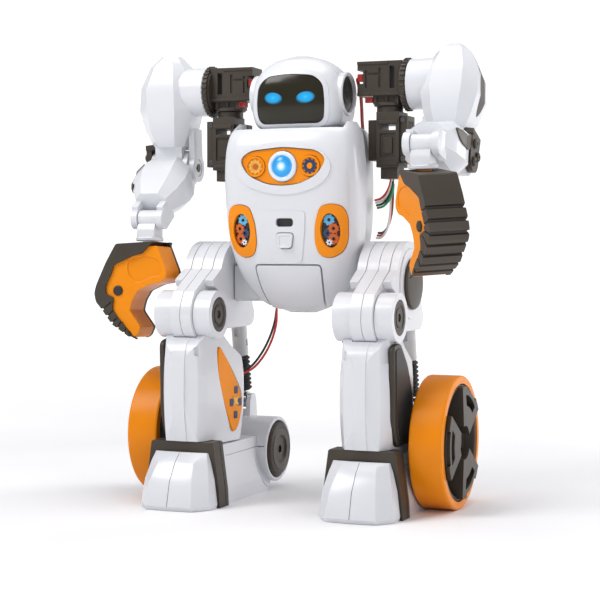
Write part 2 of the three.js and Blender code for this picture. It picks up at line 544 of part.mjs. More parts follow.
function shockRod() {
  const rod = upright([[0, 3], [2, 3], [2, SHOCK.rodTop], [0, SHOCK.rodTop]], 12);
  return cut(union(rod, bar('x', 4.8, -3, 3, 0, 0)), bar('x', 2.1, -5, 5, 0, 0, 12));
}

function shockBellows() {
  const [low, high] = SHOCK.bellows;
  const folds = 6;
  const pitch = (high - low) / folds;
  const outer = Array.from({ length: folds }, (_, i) => [[4.2, low + pitch * i], [5.4, low + pitch * (i + 0.5)]]).flat();
  return upright([[2.4, low], ...outer, [4.2, high], [2.4, high], [2.4, low]], 12);
}

function shockSleeve() {
  const top = SHOCK.length - 3;
  const tube = upright([[0, 48], [3, 48], [3, SHOCK.sleeve], [4.7, SHOCK.sleeve], [4.7, top], [0, top]]);
  const eye = bar('x', 4.7, -4.7, 4.7, 0, SHOCK.length);
  return cut(union(tube, eye), bar('x', 2.1, -6, 6, 0, SHOCK.length, 12));
}

function tyre() {
  const [x0, x1, r] = [WHEEL.inner, WHEEL.inner + WHEEL.width, WHEEL.r];
  const profile = [[r - 4.5, x0], [r - 0.8, x0], [r, x0 + 0.8], [r, x1 - 0.8], [r - 0.8, x1], [r - 4.5, x1]];
  return turned('x', [...profile, profile[0]], WHEEL.y, WHEEL.r, 40);
}

function wheelHub() {
  const [x0, x1] = [WHEEL.inner, WHEEL.inner + WHEEL.width];
  const r = WHEEL.r - 4.5 - GAP;
  const dish = [[0, x0 + 2], [9, x0 + 2], [9, x0 + 5], [r - 3, x0 + 5], [r - 3, x0 + 0.6], [r, x0 + 0.6],
    [r, x1 - 0.8], [r - 2.4, x1 - 0.8], [r - 4, x1 - 7], [12, x1 - 10], [9, x1 - 2.5], [0, x1 - 2.5]];
  const spoke = (turn) => {
    const plate = slab('x', [...arc(0, 0, r - 1.2, 34, -34, 8), ...arc(0, 0, 9.5, -40, 40, 3)], x1 - 8, x1 + 2.4);
    const slot = slab('x', [...arc(0, 0, r - 6, 20, -20, 4), ...arc(0, 0, r - 11.5, -18, 18, 4)], x1 - 3, x1 + 4);
    return cut(plate, slot).rotate([turn, 0, 0]).translate([0, WHEEL.y, WHEEL.r]);
  };
  const axle = bar('x', 3.4, 8, x0 + 3, WHEEL.y, WHEEL.r, SMALL);
  return union(turned('x', dish, WHEEL.y, WHEEL.r, 32), ...[65, 180, 295].map(spoke), axle);
}

function hipCap() {
  const profile = [[0, 12.7], [14.6, 12.7], [14.6, 14.2], [13.4, 15], [6, 15.5], [0, 15.6]];
  return turned('x', profile, 0, HIP.z);
}

function buildLeg(root, sideName, side) {
  const leg = frameAt(root, side * LEG_X, 0, 0);
  leg.scale.x = side;
  add(leg, `thigh_${sideName}`, thigh(), WHITE);
  add(leg, `hip_cap_${sideName}`, hipCap(), TAUPE);
  add(leg, `shin_${sideName}`, shin(), WHITE);
  add(leg, `foot_${sideName}`, footBody(), WHITE);
  add(leg, `toe_bumper_${sideName}`, toeBumper(), TAUPE);
  add(leg, `toe_cap_${sideName}`, toeCap(), WHITE);
  add(leg, `drum_cap_${sideName}`, drumCap(), TAUPE);
  add(leg, `wheel_hub_${sideName}`, wheelHub(), TAUPE);
  add(leg, `tyre_${sideName}`, tyre(), ORANGE);
  const shock = frameAt(leg, 0, LUG.y, LUG.z);
  shock.rotation.x = Math.atan2(LUG.y - LEVER.y, LEVER.z - LUG.z);
  add(shock, `shock_rod_${sideName}`, shockRod(), BLACK);
  add(shock, `shock_bellows_${sideName}`, shockBellows(), BLACK);
  add(shock, `shock_sleeve_${sideName}`, shockSleeve(), GREY);
}

// ---- Leads ---------------------------------------------------------------------------------------
// A pair of wires along a smooth curve, as one bonded ribbon.
function ribbon(points, half, steps) {
  const path = new THREE.CatmullRomCurve3(points.map((p) => new THREE.Vector3(...p)), false, 'centripetal');
  const section = new THREE.Shape(arc(0, 0, 1, 0, 315, 7).map(([u, v]) => new THREE.Vector2(u * half, v * half * 0.6)));
  return solid(new THREE.ExtrudeGeometry(section, { steps, extrudePath: path, bevelEnabled: false }));
}

const LEG_LEAD = [[20, 8, 108.4], [21, 9, 102], [25, 11, 92], [31, 12, 82], [37, 11, 75], [43, 8, 71.5], [46, 4, 71]];
const ARM_LEAD = [[51.5, 9, 185], [51, 9, 181], [48.5, 10, 176], [44, 13, 172.5], [39.4, 16, 171.5]];

function buildLeads(root) {
  for (const [sideName, side] of [['left', 1], ['right', -1]]) {
    const onSide = (points) => points.map(([x, y, z]) => [x * side, y, z]);
    add(root, `leg_lead_${sideName}`, ribbon(onSide(LEG_LEAD), 1.6, 16), WIRE);
    add(root, `arm_lead_${sideName}`, ribbon(onSide(ARM_LEAD), 2.6, 12), WIRE);
  }
}

// ---- Robot ---------------------------------------------------------------------------------------
const robot = new THREE.Group();
buildTorso(robot);
buildHead(robot);
for (const [sideName, side] of [['left', 1], ['right', -1]]) {
  buildArm(robot, sideName, side);
  buildLeg(robot, sideName, side);
}
buildLeads(robot);

// The origin is on the ground, under the middle of the robot's outline.
const bounds = new THREE.Box3().setFromObject(robot, true);
robot.position.set(-(bounds.min.x + bounds.max.x) / 2, -(bounds.min.y + bounds.max.y) / 2, -bounds.min.z);

export default robot;
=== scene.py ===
import json
import math

import bmesh
import bpy
import numpy as np
from mathutils import Matrix, Vector


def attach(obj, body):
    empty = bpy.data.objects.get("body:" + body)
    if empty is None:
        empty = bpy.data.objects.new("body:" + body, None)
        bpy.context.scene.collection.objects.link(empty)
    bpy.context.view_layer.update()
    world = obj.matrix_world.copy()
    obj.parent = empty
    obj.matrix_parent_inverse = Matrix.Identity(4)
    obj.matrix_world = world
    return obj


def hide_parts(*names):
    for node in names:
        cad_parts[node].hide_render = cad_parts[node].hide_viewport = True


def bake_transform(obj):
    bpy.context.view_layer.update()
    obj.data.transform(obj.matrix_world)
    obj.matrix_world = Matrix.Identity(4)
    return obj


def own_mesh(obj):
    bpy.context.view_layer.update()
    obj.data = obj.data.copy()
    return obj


# Looks of a standing toy robot: white shells, dark motor housings, orange claws, tyres and trims.
# Shapes are drawn in millimetres in the robot's own frame and placed in metres by piece().

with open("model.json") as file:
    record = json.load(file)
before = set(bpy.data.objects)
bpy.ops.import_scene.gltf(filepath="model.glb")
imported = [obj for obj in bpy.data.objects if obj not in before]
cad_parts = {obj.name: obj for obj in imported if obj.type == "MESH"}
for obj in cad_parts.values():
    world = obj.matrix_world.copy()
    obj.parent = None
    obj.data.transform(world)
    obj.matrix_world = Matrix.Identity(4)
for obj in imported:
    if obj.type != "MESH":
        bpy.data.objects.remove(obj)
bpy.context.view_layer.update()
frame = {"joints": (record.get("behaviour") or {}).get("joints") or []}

# ---- Dimensions, in millimetres -----------------------------------------------------------------
MM = 0.001
SIDES = (("left", 1), ("right", -1))
JOINTS = {joint["name"]: joint for joint in frame["joints"]}
LEG_X = 54
HIP_Z = 126
ORIGIN = Vector(JOINTS["hip_left"]["pos_m"]) / MM - Vector((LEG_X, 0, HIP_Z))

GAP = 0.3  # clearance between pieces
FINE, ROUND, SMALL = 96, 72, 32  # sides of large, middling and small round pieces
SPLIT_Y = -6  # the seam between the front and the rear shell
WALL = 2.4
CHEST_Z = 192
LAMP_R = 8.6
BUTTON_X = 16.5
BUTTON_R = 5.8
NECK_R = 13
SHOULDER_Y = 9
YAW_X, YAW_Z = 50, 226.6
AXIS_Z = 239
DISC_X, DISC_R = 62.6, 15.2
SHELL_X = 25.3
ELBOW_Y, ELBOW_Z = 2, -45
WRIST_Y, WRIST_Z = 5, -48
HAND_DROP = 17.7
NECK_X = 6
PALM_Y, BACK_Y, FLANK_Y, SHELL_Y = -10, 9, -11.4, 11.4
KNEE_Y, KNEE_Z, KNEE_R = -36, 108.5, 13.6
LOBE, FORK = 6.8, 17.3  # half widths of the thigh's lobe and of the knee drums around it
LEVER_Y, LEVER_Z = 28, 106  # the shock's upper pin
LUG_Y, LUG_Z = 37, 53  # the shock's lower pin
WHEEL_R, WHEEL_IN, WHEEL_OUT = 37.5, 22.4, 41.4
DRUM_Y, DRUM_Z, DRUM_R, DRUM_IN = 33, 24, 19.5, -24
# The arm joints' angles at rest, in degrees.
POSE = {
    "left": {"side": 1, "yaw": 1, "pitch": -21, "elbow": -81, "wrist": 107, "turn": -48},
    "right": {"side": -1, "yaw": -3, "pitch": 4, "elbow": -60, "wrist": 54, "turn": 0},
}
TO_ROW = Matrix.Diagonal((MM, MM, MM, 1)) @ Matrix.Translation(ORIGIN)
HERE = Matrix.Identity(4)
EDGE_WIDTH = 0.3 * MM
# How far the painted shade reaches out of corners.
CORNER_REACH = 6 * MM


# ---- Materials ------------------------------------------------------------------------------------
def node_tree(name):
    """A new material's tree, its Principled shader and its object coordinates."""
    material = bpy.data.materials.new(name)
    material.use_nodes = True
    tree = material.node_tree
    shader = tree.nodes["Principled BSDF"]
    place = tree.nodes.new("ShaderNodeTexCoord").outputs["Object"]
    return material, tree, shader, place


def plug_in(tree, node, inputs):
    """Sets a node's inputs; each is a value or another node's output."""
    for key, value in inputs.items():
        if isinstance(value, bpy.types.NodeSocket):
            tree.links.new(value, node.inputs[key])
        else:
            node.inputs[key].default_value = value


def add_node(tree, kind, inputs=None, **settings):
    """A new shader node with its settings and inputs."""
    node = tree.nodes.new("ShaderNode" + kind)
    for key, value in settings.items():
        setattr(node, key, value)
    plug_in(tree, node, inputs or {})
    return node


def noise(tree, place, scale, detail=2.0, roughness=0.5):
    """Soft noise over the object's coordinates."""
    inputs = {"Scale": scale, "Detail": detail, "Roughness": roughness, "Vector": place}
    return add_node(tree, "TexNoise", inputs).outputs["Fac"]


def ramp(tree, value, stops):
    """A colour ramp through (place, colour) stops."""
    node = add_node(tree, "ValToRGB", {"Fac": value})
    while len(node.color_ramp.elements) < len(stops):
        node.color_ramp.elements.new(0.5)
    for element, (position, color) in zip(node.color_ramp.elements, stops):
        element.position = position
        element.color = (*color, 1)
    return node.outputs["Color"]


def mapped(tree, value, low, high, to_low, to_high):
    """A value carried over from one range to another."""
    inputs = {"Value": value, "From Min": low, "From Max": high, "To Min": to_low, "To Max": to_high}
    return add_node(tree, "MapRange", inputs).outputs["Result"]


def mixed(tree, share, first, second):
    """Two colours mixed by a share; each is a socket or a colour."""
    node = add_node(tree, "Mix", {"Factor": share}, data_type="RGBA")
    for name, value in (("A", first), ("B", second)):
        socket = [s for s in node.inputs if s.name == name and s.type == "RGBA"][0]
        if isinstance(value, tuple):
            socket.default_value = (*value, 1)
        else:
            tree.links.new(value, socket)
    return [s for s in node.outputs if s.type == "RGBA"][0]


def edge_share(tree, radius):
    """1 on sharp edges and 0 on flats, from the bevelled normal."""
    bevelled = add_node(tree, "Bevel", {"Radius": radius}, samples=4).outputs["Normal"]
    plain = add_node(tree, "NewGeometry").outputs["Normal"]
    dot = add_node(tree, "VectorMath", {0: bevelled, 1: plain}, operation="DOT_PRODUCT")
    return mapped(tree, dot.outputs["Value"], 1.0, 0.75, 0.0, 1.0), bevelled


def cavity(tree, reach):
    """0 in deep corners and 1 in the open, from ambient occlusion; it masks the painted shade in corners.
    """
    node = add_node(tree, "AmbientOcclusion", {"Distance": reach}, samples=16)
    return mapped(tree, node.outputs["AO"], 0.15, 0.85, 0.0, 1.0)


def moulded(name, color, rough, grain=0.06, grain_size=0.0005, wear=None, coat=0.0, tone=0.05, corner_shade=0.0,
            sheen=0.5):
    """Injection-moulded plastic: soft tone changes, a fine mould texture, painted shade in the corners and
    paler edges.
    """
    material, tree, shader, place = node_tree(name)
    cloud = noise(tree, place, 38)
    speck = noise(tree, place, 1 / (grain_size * 4))
    dark = tuple(max(0.0, c * (1 - tone)) for c in color)
    light = tuple(min(1.0, c * (1 + tone * 0.6)) for c in color)
    paint = mixed(tree, mapped(tree, cloud, 0.25, 0.75, 0, 1), dark, light)
    bump = add_node(tree, "Bump", {"Strength": grain, "Distance": grain_size * 0.25, "Height": speck})
    if wear:
        share, soft_normal = edge_share(tree, EDGE_WIDTH)
        paint = mixed(tree, mapped(tree, share, 0.1, 1, 0, 0.6), paint, wear)
        tree.links.new(soft_normal, bump.inputs["Normal"])
    # Painted shade: ambient occlusion darkens the colour in corners and recesses, where shade falls.
    if corner_shade:
        corner = tuple(c * (1 - corner_shade) for c in color)
        paint = mixed(tree, cavity(tree, CORNER_REACH), corner, paint)
    smear = noise(tree, place, 60, 2, 0.4)
    plug_in(tree, shader, {
        "Base Color": paint,
        "Roughness": mapped(tree, smear, 0.25, 0.75, rough * 0.98, min(1.0, rough * 1.04)),
        "Normal": bump.outputs["Normal"],
        "Specular IOR Level": sheen,
        "Coat Weight": coat,
        "Coat Roughness": 0.08,
    })
    return material


def radial_light(name, centre, stops, radius):
    """A lit lens whose colour runs outwards from a point of the row frame, seen along Y."""
    material, tree, shader, place = node_tree(name)
    shifted = add_node(tree, "VectorMath", {0: place, 1: centre}, operation="SUBTRACT").outputs["Vector"]
    flatten = (1 / radius[0], 0, 1 / radius[1])
    flat = add_node(tree, "VectorMath", {0: shifted, 1: flatten}, operation="MULTIPLY").outputs["Vector"]
    length = add_node(tree, "VectorMath", {0: flat}, operation="LENGTH").outputs["Value"]
    frosting = noise(tree, place, 900)
    jitter = add_node(tree, "Math", {0: frosting, 1: 0.05, 2: length}, operation="MULTIPLY_ADD")
    plug_in(tree, shader, {
        "Base Color": mixed(tree, frosting, (0.01, 0.03, 0.05), (0.015, 0.05, 0.08)),
        "Emission Color": ramp(tree, jitter.outputs["Value"], stops),
        "Emission Strength": 1.0,
        "Roughness": 0.12,
    })
    return material


def rings_metal(name, color, rough):
    """Turned or drawn metal with fine lines along one axis."""
    material, tree, shader, place = node_tree(name)
    lines = add_node(tree, "TexWave", {"Scale": 900, "Distortion": 4, "Vector": place}).outputs["Fac"]
    plug_in(tree, shader, {
        "Base Color": mixed(tree, lines, tuple(c * 0.75 for c in color), color),
        "Roughness": mapped(tree, lines, 0, 1, rough, rough * 1.6),
        "Metallic": 1.0,
    })
    return material


def circuit(name):
    """Green solder mask with paler tracks and tinned pads."""
    material, tree, shader, place = node_tree(name)
    tracks = add_node(tree, "TexBrick", {
        "Scale": 160, "Mortar Size": 0.03, "Vector": place, "Color1": (0.012, 0.12, 0.04, 1),
        "Color2": (0.016, 0.15, 0.05, 1), "Mortar": (0.05, 0.28, 0.10, 1),
    })
    pads = mapped(tree, noise(tree, place, 420, 0), 0.66, 0.7, 0, 1)
    plug_in(tree, shader, {
        "Base Color": mixed(tree, pads, tracks.outputs["Color"], (0.55, 0.56, 0.58)),
        "Roughness": mapped(tree, pads, 0, 1, 0.35, 0.25),
    })
    return material


WHITE = moulded("white_shell", (0.70, 0.712, 0.745), 0.26, grain=0.03, coat=0.2, tone=0.006)
GREY = moulded("grey_shell", (0.60, 0.61, 0.62), 0.42, grain=0.12, tone=0.03)
# The dark housings carry painted shade in their corners and recesses.
TAUPE = moulded("taupe_housing", (0.058, 0.046, 0.035), 0.4, grain=0.35, wear=(0.16, 0.135, 0.11),
                tone=0.15, corner_shade=0.8, sheen=0.32)
SHADE = moulded("dark_recess", (0.022, 0.02, 0.018), 0.5, grain=0.2, wear=(0.05, 0.046, 0.04), tone=0.1)
ORANGE = moulded("orange_plastic", (0.86, 0.265, 0.002), 0.32, grain=0.06, tone=0.05, sheen=0.25)
TYRE = moulded("orange_tyre", (0.84, 0.25, 0.002), 0.34, grain=0.2, grain_size=0.0009, tone=0.06,
               sheen=0.22)
RUBBER = moulded("black_rubber", (0.014, 0.014, 0.015), 0.6, grain=0.3, wear=(0.04, 0.04, 0.042))
VISOR = moulded("dark_visor", (0.019, 0.016, 0.008), 0.14, grain=0.0, sheen=0.35)
STEEL = rings_metal("bright_steel", (0.62, 0.63, 0.65), 0.22)
SCREW = rings_metal("blackened_screw", (0.16, 0.16, 0.17), 0.35)
BOARD = circuit("circuit_board")
CELLS = moulded("cell_wrap", (0.30, 0.31, 0.34), 0.25, grain=0.05)
RED = moulded("red_insulation", (0.62, 0.035, 0.02), 0.42, grain=0.05)
PLUG = moulded("plug_red", (0.36, 0.014, 0.01), 0.35, grain=0.05)
BLACK_WIRE = moulded("black_insulation", (0.02, 0.02, 0.022), 0.4, grain=0.05)
WHITE_WIRE = moulded("white_insulation", (0.78, 0.76, 0.72), 0.42, grain=0.05)
GREEN_WIRE = moulded("green_insulation", (0.02, 0.27, 0.10), 0.42, grain=0.05)
GOLD = moulded("gold_relief", (0.80, 0.42, 0.06), 0.3, grain=0.05)
DEEP_ORANGE = moulded("deep_orange", (0.55, 0.10, 0.004), 0.4, grain=0.06)
NAVY = moulded("navy_relief", (0.016, 0.045, 0.12), 0.35, grain=0.08, wear=(0.05, 0.12, 0.24))
SKY = moulded("sky_relief", (0.10, 0.42, 0.72), 0.3, grain=0.05)
PALE_RING = moulded("pale_ring", (0.72, 0.80, 0.90), 0.2, grain=0.0, coat=0.3)
LAMP_GLOW = [
    (0.0, (1, 1, 1)), (0.2, (0.8, 0.95, 1)), (0.48, (0.02, 0.42, 0.88)), (0.8, (0.008, 0.28, 0.74)),
    (1.0, (0.05, 0.40, 0.80)),
]
EYE_GLOW = [
    (0.0, (0.05, 0.55, 0.93)), (0.3, (0.006, 0.41, 0.84)), (0.68, (0.004, 0.33, 0.74)),
    (0.88, (0.003, 0.10, 0.2)), (1.0, (0.003, 0.02, 0.03)),
]


# ---- Solids ---------------------------------------------------------------------------------------
def closed(verts, faces):
    """A mesh with its faces turned outwards and doubled points merged."""
    mesh = bpy.data.meshes.new("solid")
    mesh.from_pydata([tuple(v) for v in verts], [], faces)
    work = bmesh.new()
    work.from_mesh(mesh)
    bmesh.ops.remove_doubles(work, verts=work.verts, dist=1e-4)
    bmesh.ops.recalc_face_normals(work, faces=work.faces)
    work.to_mesh(mesh)
    work.free()
    return mesh


def on_axis(axis, u, v, station):
    """A point from its two profile values and its station along the axis."""
    return {"x": (station, u, v), "y": (u, station, v), "z": (u, v, station)}[axis]


def slab(axis, outline, low, high):
    """An outline pushed along an axis; the outline is (y, z), (x, z) or (x, y)."""
    count = len(outline)
    verts = [on_axis(axis, u, v, station) for station in (low, high) for u, v in outline]
    sides = [(i, (i + 1) % count, (i + 1) % count + count, i + count) for i in range(count)]
    return closed(verts, [tuple(range(count))[::-1], tuple(range(count, 2 * count)), *sides])


def box(x0, x1, y0, y1, z0, z1):
    """A box between six planes."""
    return slab("z", [(x0, y0), (x1, y0), (x1, y1), (x0, y1)], z0, z1)


def circle(u, v, r, sides=ROUND, v_radius=None):
    """A round or oval outline."""
    turns = [2 * math.pi * i / sides for i in range(sides)]
    return [(u + r * math.cos(t), v + (v_radius or r) * math.sin(t)) for t in turns]


def bar(axis, r, low, high, u, v, sides=ROUND):
    """A round bar along an axis."""
    return slab(axis, circle(u, v, r, sides), low, high)


def turned(axis, profile, u, v, sides=ROUND):
    """A turned solid of (radius, station) points that close on the axis or on themselves."""
    points = profile if profile[0] != profile[-1] else profile[:-1]
    loop = profile[0] == profile[-1]
    count = len(points)
    verts = []
    for i in range(sides):
        turn = 2 * math.pi * i / sides
        verts += [on_axis(axis, u + r * math.cos(turn), v + r * math.sin(turn), s) for r, s in points]
    faces = []
    for i in range(sides):
        a, b = i * count, ((i + 1) % sides) * count
        for k in range(count if loop else count - 1):
            n = (k + 1) % count
            corners = [a + k, a + n, b + n, b + k]
            if points[k][0] == 0:
                corners.remove(b + k)
            if points[n][0] == 0:
                corners.remove(b + n)
            if len(corners) > 2:
                faces.append(tuple(corners))
    return closed(verts, faces)


def facing(side, profile):
    """A turned profile with its stations towards one side."""
    return [(r, side * station) for r, station in profile]


def loft(rings):
    """A closed solid through rings of equal counts of points."""
    count = len(rings[0])
    verts = [p for ring in rings for p in ring]
    faces = [tuple(range(count))[::-1], tuple(range((len(rings) - 1) * count, len(rings) * count))]
    for k in range(len(rings) - 1):
        for i in range(count):
            j = (i + 1) % count
            faces.append((k * count + i, k * count + j, (k + 1) * count + j, (k + 1) * count + i))
    return closed(verts, faces)


def curve_point(points, share):
    """A point of a centripetal Catmull-Rom curve through the points."""
    last = len(points) - 1
    place = share * last
    k = min(int(place), last - 1)
    t = place - k
    p1, p2 = points[k], points[k + 1]
    p0 = points[k - 1] if k else 2 * p1 - p2
    p3 = points[k + 2] if k + 2 <= last else 2 * p2 - p1
    d0, d1, d2 = [max(float(np.dot(b - a, b - a)), 1e-8) ** 0.25 for a, b in ((p0, p1), (p1, p2), (p2, p3))]
    m1 = d1 * ((p1 - p0) / d0 - (p2 - p0) / (d0 + d1) + (p2 - p1) / d1)
    m2 = d1 * ((p2 - p1) / d1 - (p3 - p1) / (d1 + d2) + (p3 - p2) / d2)
    return p1 + m1 * t + (3 * (p2 - p1) - 2 * m1 - m2) * t * t + (2 * (p1 - p2) + m1 + m2) * t ** 3


def smooth_line(points, steps):
    """Points along a smooth curve through the given points."""
    points = [np.array(p, float) for p in points]
    return [curve_point(points, i / steps) for i in range(steps + 1)]


def smooth_loop(points, steps_each=6):
    """A closed outline on a smooth curve through the points."""
    count = len(points)
    padded = [np.array(points[(i - 2) % count], float) for i in range(count + 5)]
    span = len(padded) - 1
    shares = [(2 + i / steps_each) / span for i in range(count * steps_each)]
    return [tuple(curve_point(padded, share)) for share in shares]


EGGS = {}


def egg(levels, grow=0.0, sides=112, steps=60):
    """A body whose levels are superellipses: z, half width, front y, back y, power."""
    key = (tuple(levels), grow, sides)
    if key in EGGS:
        return EGGS[key].copy()
    low, high = levels[0][0], levels[-1][0]
    curves = [[np.array((level[0], level[k])) for level in levels] for k in (1, 2, 3, 4)]
    rings = []
    for i in range(steps + 1):
        half, front, back, power = [curve_point(curve, i / steps) for curve in curves]
        z = low - grow + (half[0] - low) / (high - low) * (high - low + 2 * grow)
        ring = []
        for s in range(sides):
            turn = 2 * math.pi * s / sides
            c, d = math.cos(turn), math.sin(turn)
            x = (half[1] + grow) * math.copysign(abs(c) ** (2 / power[1]), c)
            reach = front[1] - grow if d < 0 else back[1] + grow
            ring.append((x, reach * abs(d) ** (2 / power[1]), z))
        rings.append(ring)
    EGGS[key] = loft(rings)
    return EGGS[key].copy()


def facets(z, half_x, half_y, cx=0.0, cy=0.0, corner=0.45):
    """A level ring with eight sides and cut corners."""
    ix, iy = half_x * (1 - corner), half_y * (1 - corner)
    right = [(ix, -half_y), (half_x, -iy), (half_x, iy), (ix, half_y)]
    return [(cx + x, cy + y, z) for x, y in right + [(-x, -y) for x, y in right]]


def arc(u, v, r, start, end, steps=24):
    """Part of a circle, between two angles in degrees."""
    turns = [math.radians(start + (end - start) * i / steps) for i in range(steps + 1)]
    return [(u + r * math.cos(t), v + r * math.sin(t)) for t in turns]


def mirrored(points):
    """The points mirrored about u = 0."""
    return [(-u, v) for u, v in points]


def grown(points, amount):
    """The outline moved outwards along its own normals."""
    count = len(points)
    area = sum(points[i][0] * points[(i + 1) % count][1] - points[(i + 1) % count][0] * points[i][1]
               for i in range(count))
    sign = 1 if area > 0 else -1
    result = []
    for i, (u, v) in enumerate(points):
        before, after = Vector(points[i - 1]), Vector(points[(i + 1) % count])
        along = (after - before).normalized()
        result.append((u + sign * along.y * amount, v - sign * along.x * amount))
    return result


def rounded(points, radius, steps=5):
    """The outline with rounded corners."""
    result = []
    for i, point in enumerate(points):
        corner = Vector(point)
        before = Vector(points[i - 1]) - corner
        after = Vector(points[(i + 1) % len(points)]) - corner
        reach = min(radius, before.length * 0.45, after.length * 0.45)
        start, end = corner + before.normalized() * reach, corner + after.normalized() * reach
        for k in range(steps + 1):
            t = k / steps
            spot = start * (1 - t) ** 2 + corner * 2 * t * (1 - t) + end * t * t
            result.append((spot.x, spot.y))
    return result


def round_box(u0, u1, v0, v1, radius):
    """A rectangle with rounded corners."""
    return rounded([(u0, v0), (u1, v0), (u1, v1), (u0, v1)], radius)


def both_sides(half):
    """A closed outline from its half at positive u."""
    return [*half, *mirrored(half)[::-1]]


def cut_and_joined(base, add=(), cut=(), keep=()):
    """One mesh from a base, the solids joined to it, those taken out, and those that bound it."""
    made = []

    def temporary(mesh):
        thing = bpy.data.objects.new("temporary", mesh)
        bpy.context.scene.collection.objects.link(thing)
        made.append(thing)
        return thing

    host = temporary(base)
    for operation, group in (("INTERSECT", keep), ("UNION", add), ("DIFFERENCE", cut)):
        for mesh in group:
            step = host.modifiers.new("step", "BOOLEAN")
            step.operation = operation
            step.solver = "EXACT"
            step.object = temporary(mesh)
    graph = bpy.context.evaluated_depsgraph_get()
    result = bpy.data.meshes.new_from_object(host.evaluated_get(graph))
    if len(result.polygons) < 4:
        raise RuntimeError("a boolean left nothing")
    for thing in made:
        mesh = thing.data
        bpy.data.objects.remove(thing)
        bpy.data.meshes.remove(mesh)
    return result


def moved(mesh, matrix):
    """The mesh, transformed."""
    mesh.transform(matrix)
    return mesh


def shift(x, y, z):
    """A move in millimetres."""
    return Matrix.Translation((x, y, z))


def turn(axis, degrees):
    """A turn about an axis."""
    return Matrix.Rotation(math.radians(degrees), 4, axis)


def joined(meshes):
    """Several separate solids as one mesh."""
    work = bmesh.new()
    for mesh in meshes:
        work.from_mesh(mesh)
        bpy.data.meshes.remove(mesh)
    result = bpy.data.meshes.new("joined")
    work.to_mesh(result)
    work.free()
    return result


def piece(name, mesh, material, body, matrix=HERE, stands_for=(), bevel=0.35, segments=3, tidy=True,
          slot=None):
    """A shown piece in the row frame with rounded edges; it rides on a body unless that is None."""
    place = TO_ROW @ matrix
    mesh.transform(place)
    work = bmesh.new()
    work.from_mesh(mesh)
    bmesh.ops.remove_doubles(work, verts=work.verts, dist=0.01 * MM)
    if tidy:
        limit = math.radians(0.15)
        bmesh.ops.dissolve_limit(work, angle_limit=limit, verts=work.verts, edges=work.edges)
    if place.determinant() < 0:
        bmesh.ops.reverse_faces(work, faces=work.faces)
    for face in work.faces:
        face.smooth = True
    work.to_mesh(mesh)
    work.free()
    mesh.materials.clear()
    mesh.materials.append(material)
    mesh.set_sharp_from_angle(angle=math.radians(32))
    thing = bpy.data.objects.new(name, mesh)
    bpy.context.scene.collection.objects.link(thing)
    if bevel:
        edge = thing.modifiers.new("edge", "BEVEL")
        edge.width = bevel * MM
        edge.segments = segments
        edge.limit_method = "ANGLE"
        edge.angle_limit = math.radians(28)
        edge.harden_normals = False
        edge.use_clamp_overlap = True
    shading = thing.modifiers.new("shading", "WEIGHTED_NORMAL")
    shading.keep_sharp = True
    shading.weight = 60
    if body:
        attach(thing, body)
    if stands_for:
        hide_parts(*stands_for)
    return thing


def placer(name, body, place):
    """A call that makes pieces of one side on a body; the side is added to every name."""
    def put(title, mesh, material, stands_for=None, **finish):
        stands = [f"{stands_for}_{name}"] if stands_for else []
        piece(f"{title}_{name}", mesh, material, body, place, stands, **finish)

    return put


# ---- Gears, screws and wires ----------------------------------------------------------------------
def gear(axis, r, teeth, depth, low, high, u, v):
    """A spur gear outline pushed along an axis."""
    outline = []
    for i in range(teeth):
        for share, radius in ((0.0, r - depth), (0.22, r - depth), (0.34, r), (0.66, r), (0.78, r - depth)):
            t = 2 * math.pi * (i + share) / teeth
            outline.append((u + radius * math.cos(t), v + radius * math.sin(t)))
    return slab(axis, outline, low, high)


def screw_head(axis, r, rise, spot):
    """A pan head with a cross recess, its foot at a spot."""
    profile = [(0, 0), (r, 0), (r, rise * 0.45), (r * 0.8, rise - rise * 0.12), (r * 0.4, rise), (0, rise)]
    head = turned(axis, profile, 0, 0, SMALL)
    arm, low, high = r * 0.18, min(rise, rise - rise * 0.7), max(rise + rise, rise - rise * 0.7)
    blades = []
    for wide, tall in ((r * 0.62, arm), (arm, r * 0.62)):
        blades.append(slab(axis, [(-wide, -tall), (wide, -tall), (wide, tall), (-wide, tall)], low, high))
    return moved(cut_and_joined(head, cut=blades), shift(*spot))


def wire(name, points, r, material, body, matrix=HERE, stands_for=(), steps=40, to=None, span=(0, 1)):
    """A round wire along a span of a smooth curve; with to, it rides on no body and its place is baked into
    its mesh.
    """
    line = smooth_line(points, steps)[round(span[0] * steps):round(span[1] * steps) + 1]
    steps = len(line) - 1
    sides = 12
    rings = []
    side = None
    for i, spot in enumerate(line):
        ahead = line[min(i + 1, steps)] - line[max(i - 1, 0)]
        along = Vector(ahead).normalized()
        if side is None:
            side = along.orthogonal().normalized()
        side = (side - along * side.dot(along)).normalized()
        other = along.cross(side)
        ring = []
        for k in range(sides):
            t = 2 * math.pi * k / sides
            ring.append(tuple(Vector(spot) + (side * math.cos(t) + other * math.sin(t)) * r))
        rings.append(ring)
    rides_on = None if to else body
    thing = piece(name, loft(rings), material, rides_on, matrix, stands_for, bevel=0, tidy=False,
                  slot="wire_sleeve")
    if to:
        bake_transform(thing)


